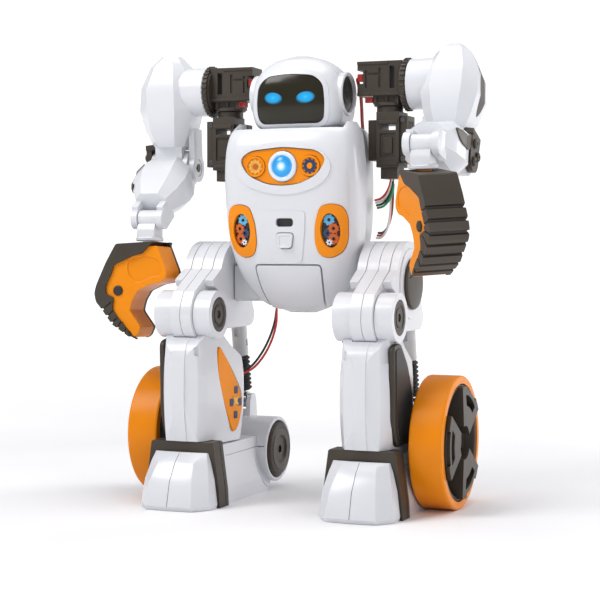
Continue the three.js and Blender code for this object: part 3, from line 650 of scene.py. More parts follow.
# ---- Torso ----------------------------------------------------------------------------------------
TORSO = [
    (109, 12, -3, 12, 2.1), (112.5, 20.5, -9, 17, 2.4), (118, 27, -14, 22, 2.8), (126, 32.6, -19, 26, 3.2),
    (137, 37, -23.5, 28.5, 3.8), (152, 40.2, -26.5, 30, 4.4), (170, 41.2, -28.5, 30, 4.8),
    (190, 41, -31, 30, 5), (204, 40, -30, 30, 5), (212, 38.6, -27, 29, 4.6), (217.5, 35.5, -22, 26, 4),
]
NARROW = [(z, half - 4, front, back, power) for z, half, front, back, power in TORSO]
TRIM_HALF = [(10, 182.5), (21, 187.5), (26, 196), (20, 200.5)]
TRIM = rounded([(0, 181.5), *TRIM_HALF, (0, 202.5), *mirrored(TRIM_HALF)[::-1]], 5)
POD = rounded([(21.5, 169.5), (28, 171), (34.6, 169.5), (36.6, 163), (36, 151), (33.2, 144), (26.6, 140.5),
               (20, 142), (17.8, 149), (18.4, 160)], 3.5)
PODS = {"left": POD, "right": mirrored(POD)[::-1]}
# The gears behind each window: x, z, radius, material, teeth and height above the recess.
POD_GEARS = (
    ("a", 26.2, 162, 3.3, SKY, 8, 0), ("b", 28.6, 157.2, 3.2, DEEP_ORANGE, 9, 0.3),
    ("c", 25.3, 154.6, 3.1, NAVY, 9, 0), ("d", 28.4, 151.4, 3.3, DEEP_ORANGE, 10, 0.3),
    ("e", 25.9, 149.4, 1.9, PALE_RING, 7, 0.6),
)
HATCH = rounded([(-20, 136.5), (20, 136.5), (19, 124), (15, 104), (-15, 104), (-19, 124)], 2.6)
BUTTON = rounded([(-5.2, 154.5), (5.2, 154.5), (3.8, 146), (-3.8, 146)], 2)
CONSOLE = rounded([(-12.6, 167.2), (12.6, 167.2), (12, 156), (9.4, 139.4), (6.5, 137.4), (-6.5, 137.4),
                   (-9.4, 139.4), (-12, 156)], 3)
SLOT = round_box(-5.3, 5.3, 163, 158.2, 2.3)
FRONT_Y = -45


def inlay(outline, below, above):
    """The plate under an outline between two offsets of the torso's skin."""
    return cut_and_joined(slab("y", outline, FRONT_Y, SPLIT_Y), keep=[egg(TORSO, above)],
                          cut=[egg(TORSO, below)])


def chest_wells():
    """Room for the lamp and the two buttons."""
    wells = [bar("y", BUTTON_R + GAP, FRONT_Y, -20, x, CHEST_Z) for x in (-BUTTON_X, BUTTON_X)]
    return [bar("y", LAMP_R + GAP, FRONT_Y, -20, 0, CHEST_Z), *wells]


def neck_opening(low):
    """Room for the neck ring, and the flat top of the torso."""
    return [bar("z", 22 + GAP, low, 225, 0, 0), box(-33, 33, -45, 45, 213.6, 230)]


def torso_front():
    """The white front shell with its raised oval and console, its wells and its seats."""
    thick = [(z, half, min(front + 6, -1), back, power) for z, half, front, back, power in TORSO]
    body = egg(TORSO)
    half_space = box(-60, 60, FRONT_Y, SPLIT_Y, 100, 225)
    raised = [
        inlay(circle(0, 191.2, 28.6, 96, 14.9), -1.5, 0.75),
        inlay(CONSOLE, -1.5, 0.55),
    ]
    seats = [
        inlay(grown(TRIM, GAP + 0.2), -3.2, 6),
        inlay(grown(HATCH, GAP + 0.35), -2.5, 6),
        *[inlay(grown(pod, GAP), -2.3, 6) for pod in PODS.values()],
        slab("y", grown(BUTTON, GAP + 0.15), FRONT_Y, -20),
        inlay(SLOT, -2.2, 6),
    ]
    rooms = [egg(thick, -WALL), *chest_wells(), *seats, *neck_opening(200)]
    shell = cut_and_joined(body, keep=[half_space], add=raised, cut=rooms)
    piece("front_shell", shell, WHITE, "torso", stands_for=["torso_front_shell"], bevel=0.3, tidy=False)


def torso_back():
    """The grey rear shell with vents, hip bosses and the battery lid."""
    body = egg(NARROW)
    door_well = box(-27 - GAP, 27 + GAP, 24, 40, 134 - GAP, 192 + GAP)
    inner = cut_and_joined(egg(NARROW, -WALL), cut=[box(-60, 60, 27.2, 60, 100, 225)])
    vents = [slab("y", round_box(-16, 16, z, z + 1.6, 0.7), 24, 40) for z in (198, 202, 206)]
    bosses = cut_and_joined(bar("x", 11, -LEG_X + 13.2, LEG_X - 13.2, 0, HIP_Z),
                            cut=[egg(NARROW, -WALL - 0.7),
                                 box(-60, 60, -45, SPLIT_Y + GAP + 0.05, 100, 150)])
    shell = cut_and_joined(body, keep=[box(-60, 60, SPLIT_Y + GAP, 45, 100, 225)])
    for tool in (inner, door_well, *neck_opening(190), *vents):
        shell = cut_and_joined(shell, cut=[tool])
    shell = cut_and_joined(shell, add=[bosses])
    piece("back_shell", shell, GREY, "torso", stands_for=["torso_back_shell"], bevel=0.3, tidy=False)
    door = box(-27, 27, 27.4, 30.6, 134, 192)
    ribs = [slab("y", round_box(-10, 10, z, z + 1.4, 0.6), 29.8, 31) for z in (184, 187)]
    pits = [bar("y", 3.2, 29.4, 32, x, 138.5) for x in (-22, 22)]
    frame_line = cut_and_joined(slab("y", round_box(-23, 23, 144, 181, 4), 30.1, 32),
                                cut=[slab("y", round_box(-22.2, 22.2, 144.8, 180.2, 3.4), 29, 33)])
    piece("battery_lid", cut_and_joined(door, add=ribs, cut=[*pits, frame_line]), GREY, "torso",
          stands_for=["battery_door"], bevel=0.35)
    for k, x in enumerate((-22, 22)):
        piece(f"lid_screw_{k}", screw_head("y", 2.4, 1.1, (x, 29.3, 138.5)), SCREW, "torso", bevel=0.08)


def torso_trims():
    """The orange leaf, the lamp, the side pods, the hatch and the neck ring."""
    trim = cut_and_joined(inlay(TRIM, -2.9, -0.5), cut=chest_wells())
    piece("chest_leaf", trim, ORANGE, "torso", stands_for=["chest_trim"], bevel=0.3, tidy=False)
    ring = [(8.55, 25), (8.55, 31.2), (8.0, 31.9), (6.6, 32.2), (6.1, 31.6), (6.1, 25)]
    ring_mesh = turned("y", [(r, -s) for r, s in [*ring, ring[0]]], 0, CHEST_Z, FINE)
    piece("lamp_ring", ring_mesh, PALE_RING, "torso", slot="blue_lamp", stands_for=["chest_lamp"],
          bevel=0.15)
    dome = [(0, -25), (5.9, -25), (5.9, -31.4), (5, -32.2), (3.4, -32.8), (1.7, -33.1), (0, -33.2)]
    centre = TO_ROW @ Vector((0, 0, CHEST_Z))
    glow = radial_light("lamp_glow", centre, LAMP_GLOW, (6.4 * MM, 6.4 * MM))
    piece("lamp_dome", turned("y", dome, 0, CHEST_Z, FINE), glow, "torso", slot="blue_lamp", bevel=0)
    for name, side in SIDES:
        window = circle(side * 27, 156, 5.6, 48, 9.6)
        plate = cut_and_joined(inlay(PODS[name], -2, 0.7), cut=[inlay(window, -1.4, 6)])
        piece(f"pod_plate_{name}", plate, ORANGE, "torso", stands_for=[f"side_pod_{name}"], bevel=0.5,
              tidy=False)
        piece(f"pod_back_{name}", inlay(grown(window, -0.15), -1.95, -1.2), SHADE, "torso", bevel=0,
              tidy=False)
        for key, x, z, r, material, teeth, step in POD_GEARS:
            tooth_ring = cut_and_joined(gear("y", r, teeth, 0.6, -45, SPLIT_Y, side * x, z),
                                        keep=[egg(TORSO, -0.45 + step * 0.7, 48, 24)],
                                        cut=[egg(TORSO, -1.2 + step * 0.5, 48, 24)])
            bore = bar("y", r * 0.3, FRONT_Y, SPLIT_Y, side * x, z, SMALL)
            tooth_ring = cut_and_joined(tooth_ring, cut=[bore],
                                        keep=[slab("y", grown(window, -0.3), FRONT_Y, SPLIT_Y)])
            piece(f"pod_gear_{key}_{name}", tooth_ring, material, "torso", slot="orange_plastic",
                  bevel=0.1, tidy=False)
    piece("hatch_plate", inlay(grown(HATCH, -0.25), -2.2, 0.3), WHITE, "torso",
          stands_for=["belly_hatch"], bevel=0.5, tidy=False)
    piece("slot_floor", inlay(grown(SLOT, -0.1), -2.15, -1.5), SHADE, "torso", bevel=0, tidy=False)
    collar = [(13.4, 208), (22, 208), (22, 213.0), (21.4, 213.4), (20, 213.4), (19.4, 212.8), (15, 212.8),
              (14.4, 213.4), (13.4, 213.4)]
    piece("neck_ring", turned("z", [*collar, collar[0]], 0, 0, FINE), GREY, "torso",
          stands_for=["neck_collar"], bevel=0.15)


def buttons():
    """The two gear buttons on the chest and the power key."""
    face_y, well_y = -31.4, -40
    for name, side, teeth_look, hub_look in (("left", 1, NAVY, ORANGE), ("right", -1, GOLD, DEEP_ORANGE)):
        x = side * BUTTON_X
        cap = cut_and_joined(bar("y", BUTTON_R, face_y, -26.5, x, CHEST_Z),
                             cut=[bar("y", 4.7, well_y, face_y + 0.8, x, CHEST_Z)])
        body = f"chest_button_{name}"
        piece(f"button_rim_{name}", cap, ORANGE, body, stands_for=[body], bevel=0.25)
        wheel = gear("y", 4.4, 10, 0.9, face_y + 0.25, face_y + 1, x, CHEST_Z)
        wheel = cut_and_joined(wheel, cut=[bar("y", 2.5, well_y, face_y + 0.6, x, CHEST_Z, SMALL)])
        piece(f"button_gear_{name}", wheel, teeth_look, body, slot="orange_plastic", bevel=0.12)
        hub = turned("y", [(0, face_y + 0.1), (1.3, face_y + 0.1), (1.7, face_y + 0.4), (1.7, face_y + 1),
                           (0, face_y + 1)], x, CHEST_Z, SMALL)
        piece(f"button_hub_{name}", hub, hub_look, body, slot="orange_plastic", bevel=0)
    press = slab("y", BUTTON, -28.2, -24)
    dish = slab("y", rounded([(-3.6, 153), (3.6, 153), (2.6, 147.4), (-2.6, 147.4)], 1), -30, -27.7)
    piece("power_key", cut_and_joined(press, cut=[dish]), WHITE, "power_button",
          stands_for=["power_button"], bevel=0.3)


def inside():
    """The cells with their tray, and the board."""
    piece("cells", joined([bar("z", 7.1, 141.5, 191.5, x, 16.5) for x in (-21.6, -7.2, 7.2, 21.6)]
                          + [box(-26, 26, 12, 15, 141, 192)]), CELLS, "torso",
          stands_for=["battery_pack"], bevel=0.3)
    holes = [bar("y", 1.6, -5, 5, x, z, SMALL) for x in (-24, 24) for z in (145, 197)]
    chips = [box(-8, 8, -2.8, -1.5, 160, 176), box(10, 18, -2.4, -1.5, 180, 190),
             box(-20, -12, -2.4, -1.5, 150, 156)]
    piece("board", cut_and_joined(box(-28, 28, -1.6, 0, 141, 201), add=chips, cut=holes), BOARD, "torso",
          stands_for=["main_board"], bevel=0.1)


# ---- Head -----------------------------------------------------------------------------------------
HEAD = [
    (214.6, 23.5, -17, 20.5, 3), (216.5, 25.6, -18.8, 22.5, 3.2), (222, 27.4, -20.4, 24, 3.4),
    (231, 28, -21, 25, 3.4), (240, 26.6, -20.4, 24.4, 3.2), (247.5, 22.6, -18, 21.5, 2.9),
    (253, 15.5, -13, 15.5, 2.6), (256.2, 5, -4.5, 5, 2.2),
]
VISOR_HALF = [(19.5, 216.8), (20.6, 228), (19.4, 238.5), (14, 243.4)]
VISOR_EDGE = rounded([*VISOR_HALF, (0, 244.6), *mirrored(VISOR_HALF)[::-1]], 5)
EAR_Z = 234
EAR_RIM = [(0, 20), (12.2, 20), (12.4, 28.1), (11.9, 28.6), (10.9, 28.6), (10.5, 28.2), (0, 28.2)]
EAR_DISC = [(0, 26.1), (10.2, 26.1), (10.2, 26.9), (9.2, 27.2), (6.2, 26.7), (5.4, 27.3), (2.2, 27.3),
            (1.8, 26.8), (0, 26.8)]
EYE_X, EYE_Z, EYE_LEAN = 9.8, 231, 9


def face_plate(outline, below, above):
    """The plate under an outline between two offsets of the head's skin."""
    return cut_and_joined(slab("y", outline, -40, -6), keep=[egg(HEAD, above)], cut=[egg(HEAD, below)])


def head():
    """The skull with its seam and ears, the visor and the eyes."""
    neck = bar("z", NECK_R, 206, 218.6, 0, 0)
    frame_rim = face_plate(grown(VISOR_EDGE, 2.6), -1, 0.5)
    rims, wells = [], []
    for side in (1, -1):
        rims.append(turned("x", facing(side, EAR_RIM), 0, EAR_Z, FINE))
        wells.append(bar("x", 10.5, *sorted((side * 26.3, side * 40)), 0, EAR_Z))
    seam = cut_and_joined(box(-40, 40, -7.6, -7.1, 210, 260), cut=[egg(HEAD, -0.5)])
    visor_room = face_plate(grown(VISOR_EDGE, GAP), -2.2, 6)
    skull = cut_and_joined(egg(HEAD), add=[neck, frame_rim, *rims], cut=[*wells, visor_room, seam])
    piece("skull", skull, WHITE, "head", stands_for=["head_shell"], bevel=0.3, tidy=False)
    piece("visor", face_plate(VISOR_EDGE, -1.9, 0.15), VISOR, "head", stands_for=["face_visor"], bevel=0.4,
          tidy=False)
    for name, side in SIDES:
        lean = math.radians(side * EYE_LEAN)
        eye = [(side * EYE_X + u * math.cos(lean) - v * math.sin(lean),
                EYE_Z + u * math.sin(lean) + v * math.cos(lean)) for u, v in circle(0, 0, 5.6, 48, 3.3)]
        centre = TO_ROW @ Vector((side * EYE_X, 0, EYE_Z + 0.4))
        glow = radial_light(f"eye_glow_{name}", centre, EYE_GLOW, (6.2 * MM, 3.8 * MM))
        piece(f"eye_{name}", face_plate(eye, 0.0, 0.24), glow, "head", slot="blue_lamp", bevel=0,
              tidy=False)
        disc = turned("x", facing(side, EAR_DISC), 0, EAR_Z, FINE)
        piece(f"ear_disc_{name}", disc, SHADE, "head", bevel=0.12)


# ---- Arms -----------------------------------------------------------------------------------------
def arm_frames(pose):
    """The places of the arm, yaw, upper arm, elbow, wrist and grip in the pose of the photograph."""
    arm = Matrix.Diagonal((pose["side"], 1, 1, 1))
    yaw = arm @ shift(YAW_X, SHOULDER_Y, YAW_Z) @ turn("Z", pose["yaw"])
    upper = yaw @ shift(62.9 - YAW_X, 0, AXIS_Z - YAW_Z) @ turn("X", pose["pitch"])
    elbow = upper @ shift(SHELL_X, ELBOW_Y, ELBOW_Z) @ turn("X", pose["elbow"])
    wrist = elbow @ shift(0, WRIST_Y, WRIST_Z) @ turn("X", pose["wrist"])
    grip = wrist @ shift(0, 0, -HAND_DROP) @ turn("Z", pose["turn"]) @ shift(-NECK_X, 0, 0)
    return arm, yaw, upper, elbow, wrist, grip


def column(name, place):
    """The dark column at the torso's side that carries the shoulder motor."""
    put = placer(name, "torso", place)
    y = SHOULDER_Y
    body = box(44.5, 58, y - 8, y + 8, 192, 223.4)
    extras = [
        box(39, 45, y - 6, y + 7, 196, 219), box(57, 62.5, y - 6.5, y + 7, 194, 221),
        box(46.5, 56.5, y - 6, y + 6, 185.5, 192.5), bar("z", 7.5, 223, YAW_Z, YAW_X, y),
        box(45.6, 57, y - 8.7, y - 7, 216.8, 218.6), box(45.6, 57, y - 8.7, y - 7, 193.4, 195),
    ]
    slot = box(46.6, 56, y - 12, y + 12, 213, 216.2)
    outer = slab("y", round_box(46.6, 55.9, 197.6, 211.2, 1), y - 12, y - 7.2)
    inner = slab("y", round_box(48.6, 53.9, 199.8, 209, 0.8), y - 12, y - 6)
    island = cut_and_joined(outer, cut=[inner])
    rail_cuts = [box(60.6, 64, y - 4 + 3.4 * k, y - 2.6 + 3.4 * k, 197, 218) for k in range(3)]
    notch = [box(38, 40.4, y - 3, y + 4, 199, 204), box(38, 40.4, y - 3, y + 4, 209, 214)]
    back = slab("y", round_box(46.6, 55.9, 197.6, 210.8, 1), y + 7.2, y + 12)
    mesh = cut_and_joined(body, add=extras, cut=[slot, island, *rail_cuts, *notch, back])
    put("column", mesh, TAUPE, "shoulder_column", bevel=0.28)
    for k, z in enumerate((196.6, 218.6)):
        put(f"column_screw_{k}", screw_head("y", 1.5, -0.8, (59.8, y - 6.4, z)), SCREW, bevel=0.06)


def motor(name, place):
    """The shoulder motor with its toothed disc and its plugs."""
    put = placer(name, f"shoulder_{name}", place)
    axis = AXIS_Z - YAW_Z
    end = DISC_X - YAW_X
    body = box(-17, 9.6, -8, 8, 6, 25.6)
    teeth = gear("x", DISC_R, 30, 0.9, end - 2.6, end, 0, axis)
    extras = [bar("x", 13, 9, end - 2.4, 0, axis), teeth, box(-8, 7, -6.5, 6.5, 1.2, 7.4),
              bar("z", 9, GAP, 2, 0, 0), box(-17, 9.6, -8.6, -7, 6.2, 7.8),
              box(-17, 1.4, -8.6, -7, 23.8, 25.4)]
    slot = box(2.2, 5.2, -12, 12, 10, 22.6)
    h_relief = [box(-12.5, -11, -12, -7.3, 10.6, 20.4), box(-4.4, -2.9, -12, -7.3, 10.6, 21.6),
                box(-11.4, -4, -12, -7.3, 17.6, 19)]
    pocket = box(-18, -13.6, -12, 4, 13, 20.5)
    lower = [box(-6, -1, -12, -5.7, 2.6, 5.4), box(0.6, 5.2, -12, -5.7, 2.6, 5.4)]
    back = slab("y", round_box(-14, -1, 9, 22, 1), 7.2, 12)
    mesh = cut_and_joined(body, add=extras, cut=[slot, *h_relief, pocket, *lower, back])
    put("motor", mesh, TAUPE, "shoulder_motor", bevel=0.28)
    socket = cut_and_joined(box(-17.2, -14, -7.4, -3.8, 14.4, 18.6),
                            cut=[box(-19, -16.2, -6.9, -4.3, 15, 18)])
    put("plug_socket", socket, PLUG, bevel=0.15)
    latch = cut_and_joined(box(-12.6, -8.2, -7.4, -4, 2.2, 5.4), cut=[box(-11.8, -9.2, -9, -6.8, 2.9, 4.7)])
    put("plug_latch", latch, PLUG, bevel=0.2)
    for k, degrees in ((0, 45), (3, 315)):
        y, z = 11 * math.cos(math.radians(degrees)), axis + 11 * math.sin(math.radians(degrees))
        put(f"motor_screw_{k}", screw_head("x", 1.3, 0.7, (end - 0.7, y, z)), SCREW, bevel=0.05)


def upper_arm(name, place):
    """The faceted white shell with its dark crescent and the elbow's cheek."""
    put = placer(name, f"upper_arm_{name}", place)
    x = SHELL_X
    shell = loft([facets(-32, 9.6, 10.5, x), facets(-23, 13.6, 15.4, x), facets(-10, 16.6, 18, x),
                  facets(3, 15.6, 17, x), facets(15.5, 10.5, 12, x - 0.5), facets(21.5, 5, 6.5, x - 1)])
    socket = turned("x", [(0, 0), (13.8, 0), (14.3, 0.5), (14.3, 16), (0, 16)], 0, 0, FINE)
    cheek = [bar("x", 8.4, x - 15.6, x - 12, ELBOW_Y, ELBOW_Z),
             box(x - 15.6, x - 12, ELBOW_Y - 6, ELBOW_Y + 6, ELBOW_Z, -22)]
    hem = slab("x", [(ELBOW_Y + 2.6, -29), *arc(ELBOW_Y, ELBOW_Z, 11, 76, 148, 16), (ELBOW_Y - 9.4, -29)],
               x - 8.6, x + 8.6)
    dish = bar("x", 5.2, x - 17, x - 14.8, ELBOW_Y, ELBOW_Z)
    crescent = smooth_loop([(-1, 13), (4, 8), (7, -4), (6, -15), (1, -21), (-3, -12), (-4, 2)])
    pocket = slab("x", crescent, x + 12.2, x + 20)
    mesh = cut_and_joined(shell, add=[socket, hem, *cheek], cut=[dish, pocket])
    put("arm_shell", mesh, WHITE, "upper_arm", bevel=0.9, segments=4)
    panel = cut_and_joined(slab("x", grown(crescent, -0.35), x + 11.8, x + 20),
                           keep=[loft([facets(-32, 9.7, 10.6, x), facets(-23, 13.7, 15.5, x),
                                       facets(-10, 16.5, 18, x), facets(3, 15.5, 17, x),
                                       facets(15.5, 10.4, 12, x - 0.5), facets(21.5, 4.9, 6.5, x - 1)])])
    put("arm_crescent", panel, TAUPE, bevel=0.4)
    plug = turned("x", [(0, x - 15.2), (4.9, x - 15.2), (4.9, x - 14.6), (0, x - 14.6)], ELBOW_Y, ELBOW_Z,
                  SMALL)
    slot = slab("x", round_box(ELBOW_Y - 3, ELBOW_Y + 3, ELBOW_Z - 0.8, ELBOW_Z + 0.8, 0.5), x - 18,
                x - 14.9)
    put("elbow_plug", cut_and_joined(plug, cut=[slot]), GREY, bevel=0.15)


ELBOW_SCREWS = ((-3.6, 6.5), (3.6, 1.5), (-2.6, -3.6))


def elbow_bracket(name, place):
    """The dark bracket on the outside of the elbow."""
    put = placer(name, f"upper_arm_{name}", place)
    x, y, z = SHELL_X, ELBOW_Y, ELBOW_Z
    web = slab("y", [(x + 15.5, -34), (x + 8.8, -33.4), (x + 8.8, -30.2), (x + 15.5, -31)], y - 8, y + 8)
    cheek = [bar("x", 8.6, x + 12, x + 15.4, y, z), box(x + 12, x + 15.4, y - 7.4, y + 8, z, -32.3)]
    bosses = [turned("x", [(0, x + 15), (2.7, x + 15), (2.7, x + 16.4), (2.1, x + 17.1), (0, x + 17.2)],
                     y + dy, z + dz, SMALL) for dy, dz in ELBOW_SCREWS]
    pin = bar("x", 2.4, x - 15.6, x + 14, y, z, SMALL)
    dents = [slab("x", circle(y + dy, z + dz, 1.1, 6), x + 16.4, x + 19) for dy, dz in ELBOW_SCREWS]
    mesh = cut_and_joined(web, add=[*cheek, *bosses, pin], cut=dents)
    put("elbow_bracket", mesh, TAUPE, "elbow_link", bevel=0.3)


def forearm(name, place):
    """The faceted forearm with its fork and its dark fin."""
    put = placer(name, f"forearm_{name}", place)
    shell = loft([
        facets(-41, 9.6, 8), facets(-33, 14, 11), facets(-25, 16.6, 13.6), facets(-17, 16.4, 14.4),
        facets(-9.4, 14.4, 12.6), facets(-9.2, 11.7, 12.4), facets(-2, 11.4, 10.6), facets(4, 9.5, 8),
    ])
    knuckle = bar("x", 10.4, -11.7, 11.7, 0, 0)
    fork = []
    for low, high in ((-9.8, -6), (6, 9.8)):
        fork += [box(low, high, -3, WRIST_Y + 6.2, WRIST_Z, -36),
                 bar("x", 6.2, low, high, WRIST_Y, WRIST_Z)]
    mesh = cut_and_joined(shell, add=[knuckle, *fork], cut=[bar("x", 2.7, -20, 20, 0, 0, SMALL)])
    put("forearm_shell", mesh, WHITE, "forearm", bevel=0.8, segments=4)
    fin = smooth_loop([(-9.5, -6), (-3, -12), (1.5, -22), (-2, -31), (-8, -34), (-6, -22), (-10, -13)])
    fin_mesh = cut_and_joined(slab("x", fin, 13.4, 17.6), cut=[bar("x", 15.2, 10, 20, 0, 0)])
    fin_mesh = cut_and_joined(fin_mesh, keep=[loft([facets(-41, 10.2, 9), facets(-33, 14.8, 12),
                                                    facets(-25, 17.3, 14.4), facets(-17, 17.1, 15.2),
                                                    facets(-4, 15, 14)])])
    put("forearm_fin", fin_mesh, TAUPE, bevel=0.3)


def wrist(name, place):
    """The white neck and flange between forearm and hand."""
    put = placer(name, f"wrist_{name}", place)
    neck = slab("x", rounded([(-6.2, -11.6), (6.2, -11.6), (6.2, -6.4), (4.4, -2.6), (-4.4, -2.6),
                              (-6.2, -6.4)], 1.2), -5.4, 5.4)
    barrel = bar("x", 5, -5.7, 5.7, 0, 0, 48)
    flange = turned("z", [(0, -13.2), (7.6, -13.2), (8.0, -12.8), (8.0, -11.4), (7.4, -10.8), (0, -10.8)],
                    0, 0, ROUND)
    put("wrist_block", cut_and_joined(barrel, add=[neck, flange]), WHITE, "wrist_link", bevel=0.2)


CORE = rounded([(-3.2, 1.6), (21.2, 0.4), (26.6, -9.4), (32.4, -21.8), (33.4, -26.4), (32.4, -30.4),
                (29.6, -33.6), (22.7, -42.4), (12.8, -48.6), (11.6, -52.2), (8.8, -50.7), (6.5, -45.7),
                (13.8, -36), (12.2, -29.8), (8.8, -24.3), (0, -20.5), (-5.4, -19.7), (-8.8, -16.8),
                (-9.2, -13)], 1.4, 3)
CLAW = rounded([(-2.9, 2.1), (-3.8, 4.2), (22.6, 2.7), (28.9, -8.4), (34.8, -21.4), (36, -26.4),
                (34.8, -31.4), (31.4, -35.2), (24.3, -44.4), (13.8, -51.1), (11.7, -52.4), (8.8, -50.7),
                (6.5, -45.7), (13.8, -36), (12.2, -29.8), (8.8, -24.3), (0, -20.5), (-5.4, -19.7),
                (-8.8, -16.8), (-9.2, -13)], 1.4, 3)
FLANK_KEPT = rounded([(-3.4, 6.5), (24, 5.5), (31.4, -8), (37, -20.6), (38.6, -26.4), (37, -32.6),
                      (33, -37.2), (26, -47), (14.6, -54), (12.9, -49.7), (16.8, -44.4), (20.9, -40.2),
                      (24.4, -35.4), (23.6, -28.6), (28.6, -26.6), (28.8, -22), (25.3, -14.8),
                      (23.6, -9.6), (12.1, -4.6), (5.9, -3)], 1.2, 3)
OUTER_EDGE = [(28.9, -8.4), (34.8, -21.4), (36, -26.4), (34.8, -31.4), (31.4, -35.2), (24.3, -44.4),
              (13.8, -51.1)]
PIVOT = (21.2, -24.6)
STRIPE_LEAN = -24
# The channels across each cover: place of the first, spacing, depth and half width at the mouth.
CHANNELS = {"left": (6.5, 7.2, 1.5, 2.5), "right": (30.5, 4.9, 1.1, 1.3)}


def edge_spots(spacing, start, end):
    """Places along the claw's outer edge: x, z and the outward direction in degrees about Y."""
    spots, along = [], start
    while along < end:
        left = along
        for (x0, z0), (x1, z1) in zip(OUTER_EDGE, OUTER_EDGE[1:]):
            reach = math.hypot(x1 - x0, z1 - z0)
            if left <= reach:
                share = left / reach
                spots.append((x0 + (x1 - x0) * share, z0 + (z1 - z0) * share,
                              math.degrees(math.atan2(-(x1 - x0), -(z1 - z0)))))
                break
            left -= reach
        along += spacing
    return spots


def hand(name, place):
    """The orange claw, its dark cover with channels, the stripes and the pivot."""
    put = placer(name, f"hand_{name}", place)
    hole = bar("y", 2.3, -20, 20, *PIVOT, SMALL)
    neck = bar("z", 4.2, -4, 4.2, NECK_X, 0, SMALL)
    palm = slab("y", smooth_loop([(-5, -8), (4, -4.5), (14, -6), (15, -14), (9, -19.5), (1, -16.5),
                                  (-5, -15.5)], 4), -14, PALM_Y + 0.7)
    core = cut_and_joined(slab("y", CORE, PALM_Y, BACK_Y), add=[neck], cut=[hole.copy(), palm])
    put("claw", core, ORANGE, "hand_core", bevel=0.5)
    first, spacing, deep, flare = CHANNELS[name]
    channels = []
    for x, z, degrees in edge_spots(spacing, first, 56):
        spot = shift(x, 0, z) @ turn("Y", degrees)
        section = rounded([(-deep, -0.7), (4, -flare), (4, flare), (-deep, 0.7)], 0.4, 3)
        channels.append(moved(slab("y", section, FLANK_Y - 2, SHELL_Y + 2), spot))
        for low, high in ((FLANK_Y - 2, FLANK_Y + 0.6), (SHELL_Y - 0.8, SHELL_Y + 2)):
            channels.append(moved(box(-7.5, 5, low, high, -0.45, 0.45), spot))
    outside = cut_and_joined(box(-20, 50, FLANK_Y - 1, BACK_Y + GAP - 0.03, -60, 14),
                             cut=[slab("y", FLANK_KEPT, -30, 30)])
    room = slab("y", grown(CORE, GAP), PALM_Y - GAP, BACK_Y + GAP)
    neck_room = bar("z", 4.7, -6, 9, NECK_X, 0, SMALL)
    cover = slab("y", CLAW, FLANK_Y, SHELL_Y)
    for tool in (outside, room, neck_room, hole, *channels):
        cover = cut_and_joined(cover, cut=[tool])
    put("claw_cover", cover, TAUPE, "hand_cover", bevel=0.35)
    for k, spot in enumerate(edge_spots(4.4, 34, 50)):
        stripe = moved(box(-12, -3, -10.8, -9.8, -0.5, 0.5),
                       shift(spot[0], 0, spot[1]) @ turn("Y", STRIPE_LEAN))
        put(f"claw_stripe_{k}", stripe, SHADE, bevel=0.2)
    profile = [(0, -11), (2.4, -11), (3, -10.6), (3, -9.9), (2.1, -9.8), (2.1, 6), (0, 6)]
    put("claw_pivot", turned("y", profile, *PIVOT, SMALL), SHADE, bevel=0.2)


def arms():
    """Both arms, from the shoulder column to the hand."""
    for name, pose in POSE.items():
        arm, yaw, upper, elbow, wrist_place, grip = arm_frames(pose)
        column(name, arm)
        motor(name, yaw)
        upper_arm(name, upper)
        elbow_bracket(name, upper)
        forearm(name, elbow)
        wrist(name, wrist_place)
        hand(name, grip)


# ---- Legs -----------------------------------------------------------------------------------------
def thigh(name, place):
    """The white thigh with its hip disc."""
    put = placer(name, f"thigh_{name}", place)
    outline = [*arc(0, HIP_Z, 24, 20, 160, 44), (-46, 121.5), *arc(KNEE_Y, KNEE_Z, 15.3, 150, 315, 30),
               (-8, 99.5), (14, 99.5), *arc(LEVER_Y, LEVER_Z, 6.6, -110, 45, 16)]
    body = slab("x", outline, -12.4, 11.6)
    cuts = []
    for low, high in ((-20, -LOBE), (LOBE, 20)):
        cuts.append(bar("x", KNEE_R + 2.6, low, high, KNEE_Y, KNEE_Z))
        cuts.append(slab("x", [(-50, 85), (-9, 85), (-9, 98.6), (-20, 103), (-50, 104)], low, high))
        cuts.append(slab("x", [(-35.8, 130.4), (-32.5, 124.3), (-36, 112), (-60, 112), (-60, 134)], low,
                         high))
    cuts += [box(low, high, 18, 50, 90, 130) for low, high in ((-20, -8), (8, 20))]
    cuts.append(box(-5.2, 5.2, 19.5, 50, 90, 118))
    groove = cut_and_joined(slab("x", grown(outline, 2), -20, 20),
                            cut=[slab("x", grown(outline, -0.7), -21, 21)])
    for x in (-LOBE - 0.3, LOBE - 0.3, 0.0):
        width = 0.6 if x else 0.4
        cuts.append(cut_and_joined(groove.copy(), keep=[box(x, x + width, -80, 60, 80, 160)]))
    bpy.data.meshes.remove(groove)
    hub = turned("x", [(0, 10), (20, 10), (20, 12.1), (19.6, 12.4), (0, 12.4)], 0, HIP_Z, FINE)
    pins = [bar("x", 1.7, -7, 7, LEVER_Y, LEVER_Z, SMALL),
            bar("x", 2.6, -15.1, 15.1, KNEE_Y, KNEE_Z, SMALL)]
    mesh = cut_and_joined(body, add=[hub], cut=cuts)
    mesh = cut_and_joined(mesh, add=pins)
    put("thigh_shell", mesh, WHITE, "thigh", bevel=0.5)
    cap = [(0, 12.5), (14.4, 12.5), (14.6, 12.8), (14.6, 13.6), (14.0, 14.4), (12.6, 14.9), (8, 15.3),
           (3, 15.55), (0, 15.6)]
    put("hip_disc", turned("x", cap, 0, HIP_Z, FINE), TAUPE, "hip_cap", bevel=0)


